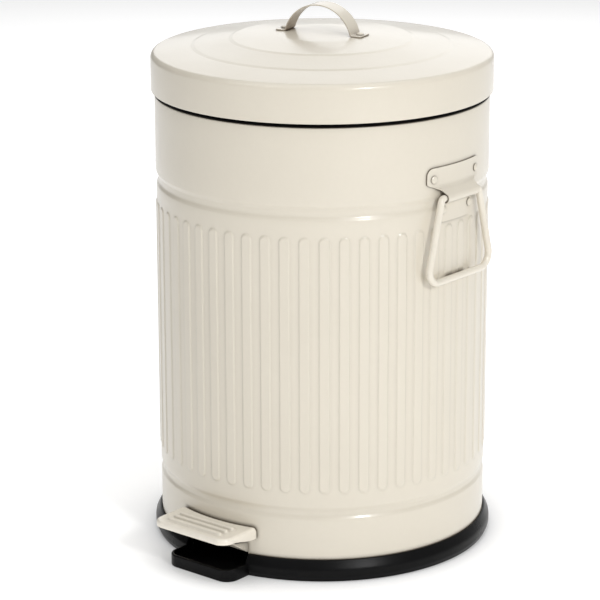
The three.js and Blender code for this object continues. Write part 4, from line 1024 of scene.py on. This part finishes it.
def soft_light(name, azimuth, elevation, distance, size, power):
    """A studio softbox aimed at the middle of the bin; azimuth 0 is in front of the pedal."""
    a, e = math.radians(azimuth), math.radians(elevation)
    data = bpy.data.lights.new(name, "AREA")
    data.shape = "RECTANGLE"
    data.size, data.size_y = size
    data.energy = power
    item = bpy.data.objects.new(name, data)
    place = Vector((math.sin(a) * math.cos(e), -math.cos(a) * math.cos(e), math.sin(e))) * distance
    middle = Vector((0, 0, BODY_TOP * MM / 2))
    item.location = middle + place
    item.rotation_mode = "QUATERNION"
    item.rotation_quaternion = place.to_track_quat("Z", "Y")
    bpy.context.scene.collection.objects.link(item)


def dim_side(tree, brightness, dimmer, azimuth):
    """Even surroundings, dimmer towards one side."""
    towards = math.radians(azimuth)
    place = tree.nodes.new("ShaderNodeTexCoord")
    facing = tree.nodes.new("ShaderNodeVectorMath")
    facing.operation = "DOT_PRODUCT"
    facing.inputs[1].default_value = (math.sin(towards), -math.cos(towards), 0.0)
    tree.links.new(place.outputs["Generated"], facing.inputs[0])
    strength = tree.nodes.new("ShaderNodeMapRange")
    strength.inputs["To Min"].default_value = brightness
    strength.inputs["To Max"].default_value = brightness * (1 - dimmer)
    tree.links.new(facing.outputs["Value"], strength.inputs["Value"])
    tree.links.new(strength.outputs["Result"], tree.nodes["Background"].inputs["Strength"])


def studio():
    world = bpy.data.worlds.new("studio")
    bpy.context.scene.world = world
    world.use_nodes = True
    world.node_tree.nodes["Background"].inputs["Color"].default_value = (1.0, 1.0, 1.0, 1.0)
    dim_side(world.node_tree, SURROUNDINGS, DIMMER, DIM_AZIMUTH)
    for light in LIGHTS:
        soft_light(*light)
    floor = object_of("studio_floor", block("studio_floor", (-9000, -9000, -20), (9000, 9000, 0)))
    paper = bpy.data.materials.new("studio_paper")
    paper.use_nodes = True
    shader = paper.node_tree.nodes["Principled BSDF"]
    shader.inputs["Roughness"].default_value = 0.75
    shader.inputs["Emission Color"].default_value = (1.0, 1.0, 1.0, 1.0)
    # Painted contact shadow: near the base, ambient occlusion lowers the floor's glow and darkens its white.
    under = paper.node_tree.nodes.new("ShaderNodeAmbientOcclusion")
    under.samples = 8
    under.inputs["Distance"].default_value = PAPER_SHADE_REACH
    for label, (shut, clear) in (("Emission Strength", PAPER_GLOW), ("Base Color", PAPER_WHITE)):
        fade = paper.node_tree.nodes.new("ShaderNodeMapRange")
        for end, value in (("From Min", 0.45), ("From Max", 0.75), ("To Min", shut), ("To Max", clear)):
            fade.inputs[end].default_value = value
        paper.node_tree.links.new(under.outputs["AO"], fade.inputs["Value"])
        paper.node_tree.links.new(fade.outputs["Result"], shader.inputs[label])
    floor.data.materials.append(paper)
    bpy.context.scene.view_settings.view_transform = "Standard"


camera()
studio()
body_shell()
base_pan()
rim_ring()
inner_bucket()
bucket_bail()
lid_shell()
lid_strap()
side_bracket("bracket_right", "handle_bracket_right", 0.0)
side_bracket("bracket_left", "handle_bracket_left", math.pi)
side_bail("bail_right_wire", "handle_bail_right", "bail_right", 0.0)
side_bail("bail_left_wire", "handle_bail_left", "bail_left", math.pi)
all_rivets()
pedal_pad()
push_rod()
linkage()
